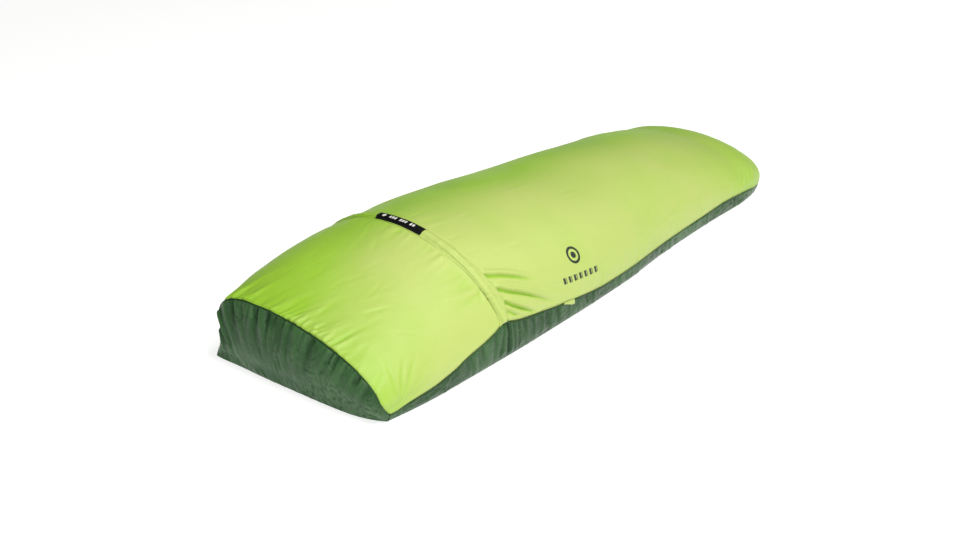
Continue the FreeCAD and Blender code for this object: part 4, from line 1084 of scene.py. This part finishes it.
LAB0, LAB1 = math.degrees(math.asin((-76.0 - ZIP_CY) / ZIP_R)), math.degrees(math.asin((90.0 - ZIP_CY) / ZIP_R))
lab_deg = np.linspace(LAB0, LAB1, 90); lab_q = np.linspace(0, 1, 26)
_G = np.broadcast_to(lab_deg[:, None], (90, 26))
_n = -20.0 + 34.0 * lab_q[None] + 0.0 * _G
_B = band_point(_G, _n); _er, _ = zip_frame(_G)
_qq = (_n - f_hood(_G)) / (f_foot(_G) - f_hood(_G))
_e = np.minimum(np.minimum(lab_q, 1 - lab_q)[None] * 32, np.minimum(_G - LAB0, LAB1 - _G) * 7.0)
_h = flap_height(_G, _qq, _n) + 1.5 + 0.5 * np.sin((_G - LAB0) * 0.33) * np.sin(np.pi * lab_q)[None] - 0.5 * np.exp(-(_e / 1.6) ** 2)
Plab = _B + _er * _h[..., None]
_d = np.concatenate([[0], np.cumsum(np.linalg.norm(np.diff(Plab[:, 13], axis=0), axis=1))])
label = sheet_mesh("flap_label_cloth", Plab, 0.7, tuple(ZC), [label_material()],
                   np.stack([np.broadcast_to((_d[-1] - _d)[:, None], _G.shape) / 1000, (_n + 20.0) / 1000], -1))
lab_st = []
for e in ("v0", "v1", "u0", "u1"):
    lab_st += stitches(*rows_of(Plab, e, 2.2, tuple(ZC)), pitch=3.4, length=2.3, width=0.4)
label_stitch = join("flap_label_stitching", lab_st, [thread_dark])

# ------------------------------------------------------------------ zip
def zip_strip(name, n0, n1, r_of, deg0, deg1, thick, mat, nq=12, steps=300):
    deg = np.linspace(deg0, deg1, steps); q = np.linspace(n0, n1, nq)
    G = np.broadcast_to(deg[:, None], (steps, nq)); n = np.broadcast_to(q[None], G.shape)
    er, _ = zip_frame(G)
    P = ZC + er * r_of(G, n)[..., None] + n[..., None] * ZN
    uv = np.stack([np.radians(G) * ZIP_R / 1000, n / 1000], -1)
    return sheet_mesh(name, P, thick, tuple(ZC), [mat], uv), P


def tape_r(G, n):
    """The tape is flat by the coil and dips under the panel's edge."""
    B = band_point(G, n)
    er, _ = zip_frame(G)
    rs = ((B - ZC) * er).sum(-1)
    t = smoothstep((np.abs(n) - 5.0) / 6.0)
    return (ZIP_R - 0.3) * (1 - t) + (rs - 1.5) * t


tape_b, Ptb = zip_strip("body_tape_cloth", 0.75, 15.5, tape_r, -62.3, 54.5, 0.6, tape_mat)
tape_h, Pth = zip_strip("hood_tape_cloth", -15.5, -0.75, tape_r, -58.9, 50.2, 0.6, tape_mat)


def coil_mesh(name, side, deg0, deg1, pitch=2.1):
    """Flattened loops of nylon along the tape's edge."""
    chunks = []
    n = int(math.radians(deg1 - deg0) * ZIP_R / pitch)
    for i in range(n):
        g = deg0 + (i + (0.5 if side > 0 else 0.0)) * math.degrees(pitch / ZIP_R)
        er, et = zip_frame(np.array([g])); er, et = er[0], et[0]
        o = ZC + er * (ZIP_R + 0.25)
        pts = np.array([[3.5, 0.35], [2.4, 1.35], [1.2, 1.62], [0.55, 1.05], [0.6, 0.5], [1.6, 0.35], [3.3, 0.3]])
        lean = np.linspace(-0.35, 0.35, len(pts))
        path = o + side * pts[:, :1] * ZN + pts[:, 1:] * er + lean[:, None] * et
        nn = np.broadcast_to(et, path.shape)
        chunks.append(sweep(path, nn, ellipse(0.62, 0.62, 5)))
    return join(name, chunks, [coil_mat])


coil_b = coil_mesh("body_coil_loops", 1, -61.7, 53.9)
coil_h = coil_mesh("hood_coil_loops", -1, -58.1, 49.8)
# one line of stitching fixes each panel edge to its tape
edge_st = join("zip_edge_stitching_body", stitches(*rows_of(Pc, "u0", 4.0, (1000, 0, 60))), [thread])
edge_st_h = join("zip_edge_stitching_hood", stitches(*rows_of(Ph, "u1", 4.0, (250, 0, 60))), [thread])

# ------------------------------------------------------------------ side tabs
def make_tab(side, name):
    fz = f_sr if side < 0 else f_sl
    nx, nz = 40, 18
    x = np.linspace(768, 820, nx); t = np.linspace(0, 1, nz)
    drop = 4.0 + 9.0 * smoothstep((x - 768) / 46)
    ztop = fz(x) + 3.0
    z = ztop[:, None] - (drop + 3.0)[:, None] * t[None]
    X = np.broadcast_to(x[:, None], z.shape)
    P = skin(X, arc_z(X, z, side))
    out = np.array([0, side, 0.15]); out = out / np.linalg.norm(out)
    k = (X - 768) / 52.0
    P = P + out * (1.3 + 2.0 * np.sin(np.pi * t)[None] * 0.5 + 2.4 * smoothstep(k) * t[None] ** 1.5 + 0.3 * value_noise(z.shape, (7, 3), 161))[..., None]
    uv = np.stack([X / 1000, z / 1000], -1)
    return sheet_mesh(name, P, 1.0, (800, 0, 60), [lime], uv), P


tab_r, Ptr = make_tab(-1, "right_tab_cloth")
tab_l, Ptl = make_tab(1, "left_tab_cloth")
tab_st_r = join("right_tab_stitching", stitches(*rows_of(Ptr, "v0", 2.6, (800, 0, 60)), pitch=3.2, length=2.2), [thread])
tab_st_l = join("left_tab_stitching", stitches(*rows_of(Ptl, "v0", 2.6, (800, 0, 60)), pitch=3.2, length=2.2), [thread])

# ------------------------------------------------------------------ rides
BL0 = None
hinge = [j for j in frame["record"]["behaviour"]["joints"] if j["name"] == "hood_fold"][0]
pos, ax = np.array(hinge["pos_m"]), np.array(hinge["axis"])
arch_top = np.array([-1.04, 0.10, 0.221])
up = np.cross(ax, arch_top - pos); up /= np.linalg.norm(up)
if up[2] < 0:
    up = -up
bag_pieces = [canopy, wall_r, wall_l, head, foot, floor, stitch_canopy, tape_b, coil_b, edge_st, tab_r, tab_l, tab_st_r, tab_st_l] + list(seams.values())
for o in bag_pieces:
    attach(o, "bag")
for o in (hood, flap, hem, label, label_stitch, tape_h, coil_h, edge_st_h, stitch_hood):
    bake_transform(o)

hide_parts("canopy_panel"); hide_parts("hood_panel")
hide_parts("right_side_wall"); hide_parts("left_side_wall")
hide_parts("head_end_panel"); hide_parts("foot_end_wall"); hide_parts("floor_sheet")
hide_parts("right_side_seam"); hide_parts("left_side_seam")
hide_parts("head_seam"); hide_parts("foot_seam")
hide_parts("right_side_tab"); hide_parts("left_side_tab")
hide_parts("body_zip_tape"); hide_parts("body_zip_coil")
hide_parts("hood_zip_tape"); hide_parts("hood_zip_coil")
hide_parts("storm_flap"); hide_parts("flap_label")
for nm, mt in (("slider_body", metal), ("pull_tab", metal), ("right_zip_stop", coil_mat), ("left_zip_stop", coil_mat)):
    ob = frame["nodes"][nm] if isinstance(frame["nodes"], dict) else bpy.data.objects[nm]
    for s_ in ob.material_slots:
        s_.material = mt


def cut(P):
    """Flat width, length and area of a panel, metres."""
    a = np.linalg.norm(np.cross(P[1:, :-1] - P[:-1, :-1], P[:-1, 1:] - P[:-1, :-1]), axis=-1).sum() / 1e6
    w = np.linalg.norm(np.diff(P, axis=1), axis=-1).sum(1).max() / 1000
    l = np.linalg.norm(np.diff(P, axis=0), axis=-1).sum(0).max() / 1000
    return round(float(w), 3), round(float(l), 3), round(float(a), 4)


flat = {}
for o, P, held, rest in ((canopy, Pc, "stretched", [wall_r, wall_l]), (hood, Ph, "gathered", [wall_r, wall_l]), (wall_r, Pr, "stretched", [floor]),
                         (wall_l, Pl, "stretched", [floor]), (head, Pe, "gathered", [floor]), (foot, Pf, "stretched", [floor]),
                         (floor, Pg, "laid", []), (flap, Pflap, "stretched", [hood]), (label, Plab, "stretched", [flap]),
                         (tape_b, Ptb, "stretched", [canopy]), (tape_h, Pth, "stretched", [hood]), (tab_r, Ptr, "stretched", [wall_r]), (tab_l, Ptl, "stretched", [wall_l])):
    w, l, a = cut(P)
    flat[o.name] = (w, l, a)
print("FLAT", json.dumps(flat))

# ------------------------------------------------------------------ room and light
def stage_plane(name, size, z, mat):
    me = bpy.data.meshes.new(name)
    s = size
    me.from_pydata([(-s, -s, z), (s, -s, z), (s, s, z), (-s, s, z)], [], [(0, 1, 2, 3)])
    me.materials.append(mat)
    ob = bpy.data.objects.new(name, me); bpy.context.scene.collection.objects.link(ob)
    return ob


gm, gnt, gb = new_mat("floor_white")
gb.inputs["Base Color"].default_value = (0.5, 0.5, 0.5, 1); gb.inputs["Roughness"].default_value = 0.9
gb.inputs["Specular IOR Level"].default_value = 0.1
gb.inputs["Emission Color"].default_value = (1, 1, 1, 1); gb.inputs["Emission Strength"].default_value = 0.78
stage_plane("ground", 30.0, -0.0005, gm)

world = bpy.data.worlds.new("studio"); bpy.context.scene.world = world; world.use_nodes = True
bg = world.node_tree.nodes["Background"]; bg.inputs[0].default_value = (1.0, 1.0, 1.0, 1); bg.inputs[1].default_value = 0.16


def area(name, loc, aim, size, power, color=(1, 1, 1)):
    d = bpy.data.lights.new(name, "AREA"); d.energy = power; d.size = size; d.color = color; d.shape = "DISK"
    o = bpy.data.objects.new(name, d); bpy.context.scene.collection.objects.link(o)
    o.location = loc
    o.rotation_euler = (Vector(aim) - Vector(loc)).to_track_quat("-Z", "Y").to_euler()
    return o


area("key", (-0.95, -1.9, 3.6), (-0.1, 0.0, 0.1), 2.2, 142, (1.0, 0.985, 0.94))
area("top", (1.7, -1.5, 2.6), (-0.2, 0.0, 0.1), 1.8, 27, (1.0, 0.98, 0.93))
area("left", (-3.4, -1.7, 1.1), (-1.0, -0.1, 0.12), 0.8, 22)
bpy.context.scene.view_settings.view_transform = "Standard"
bpy.context.scene.view_settings.look = "None"
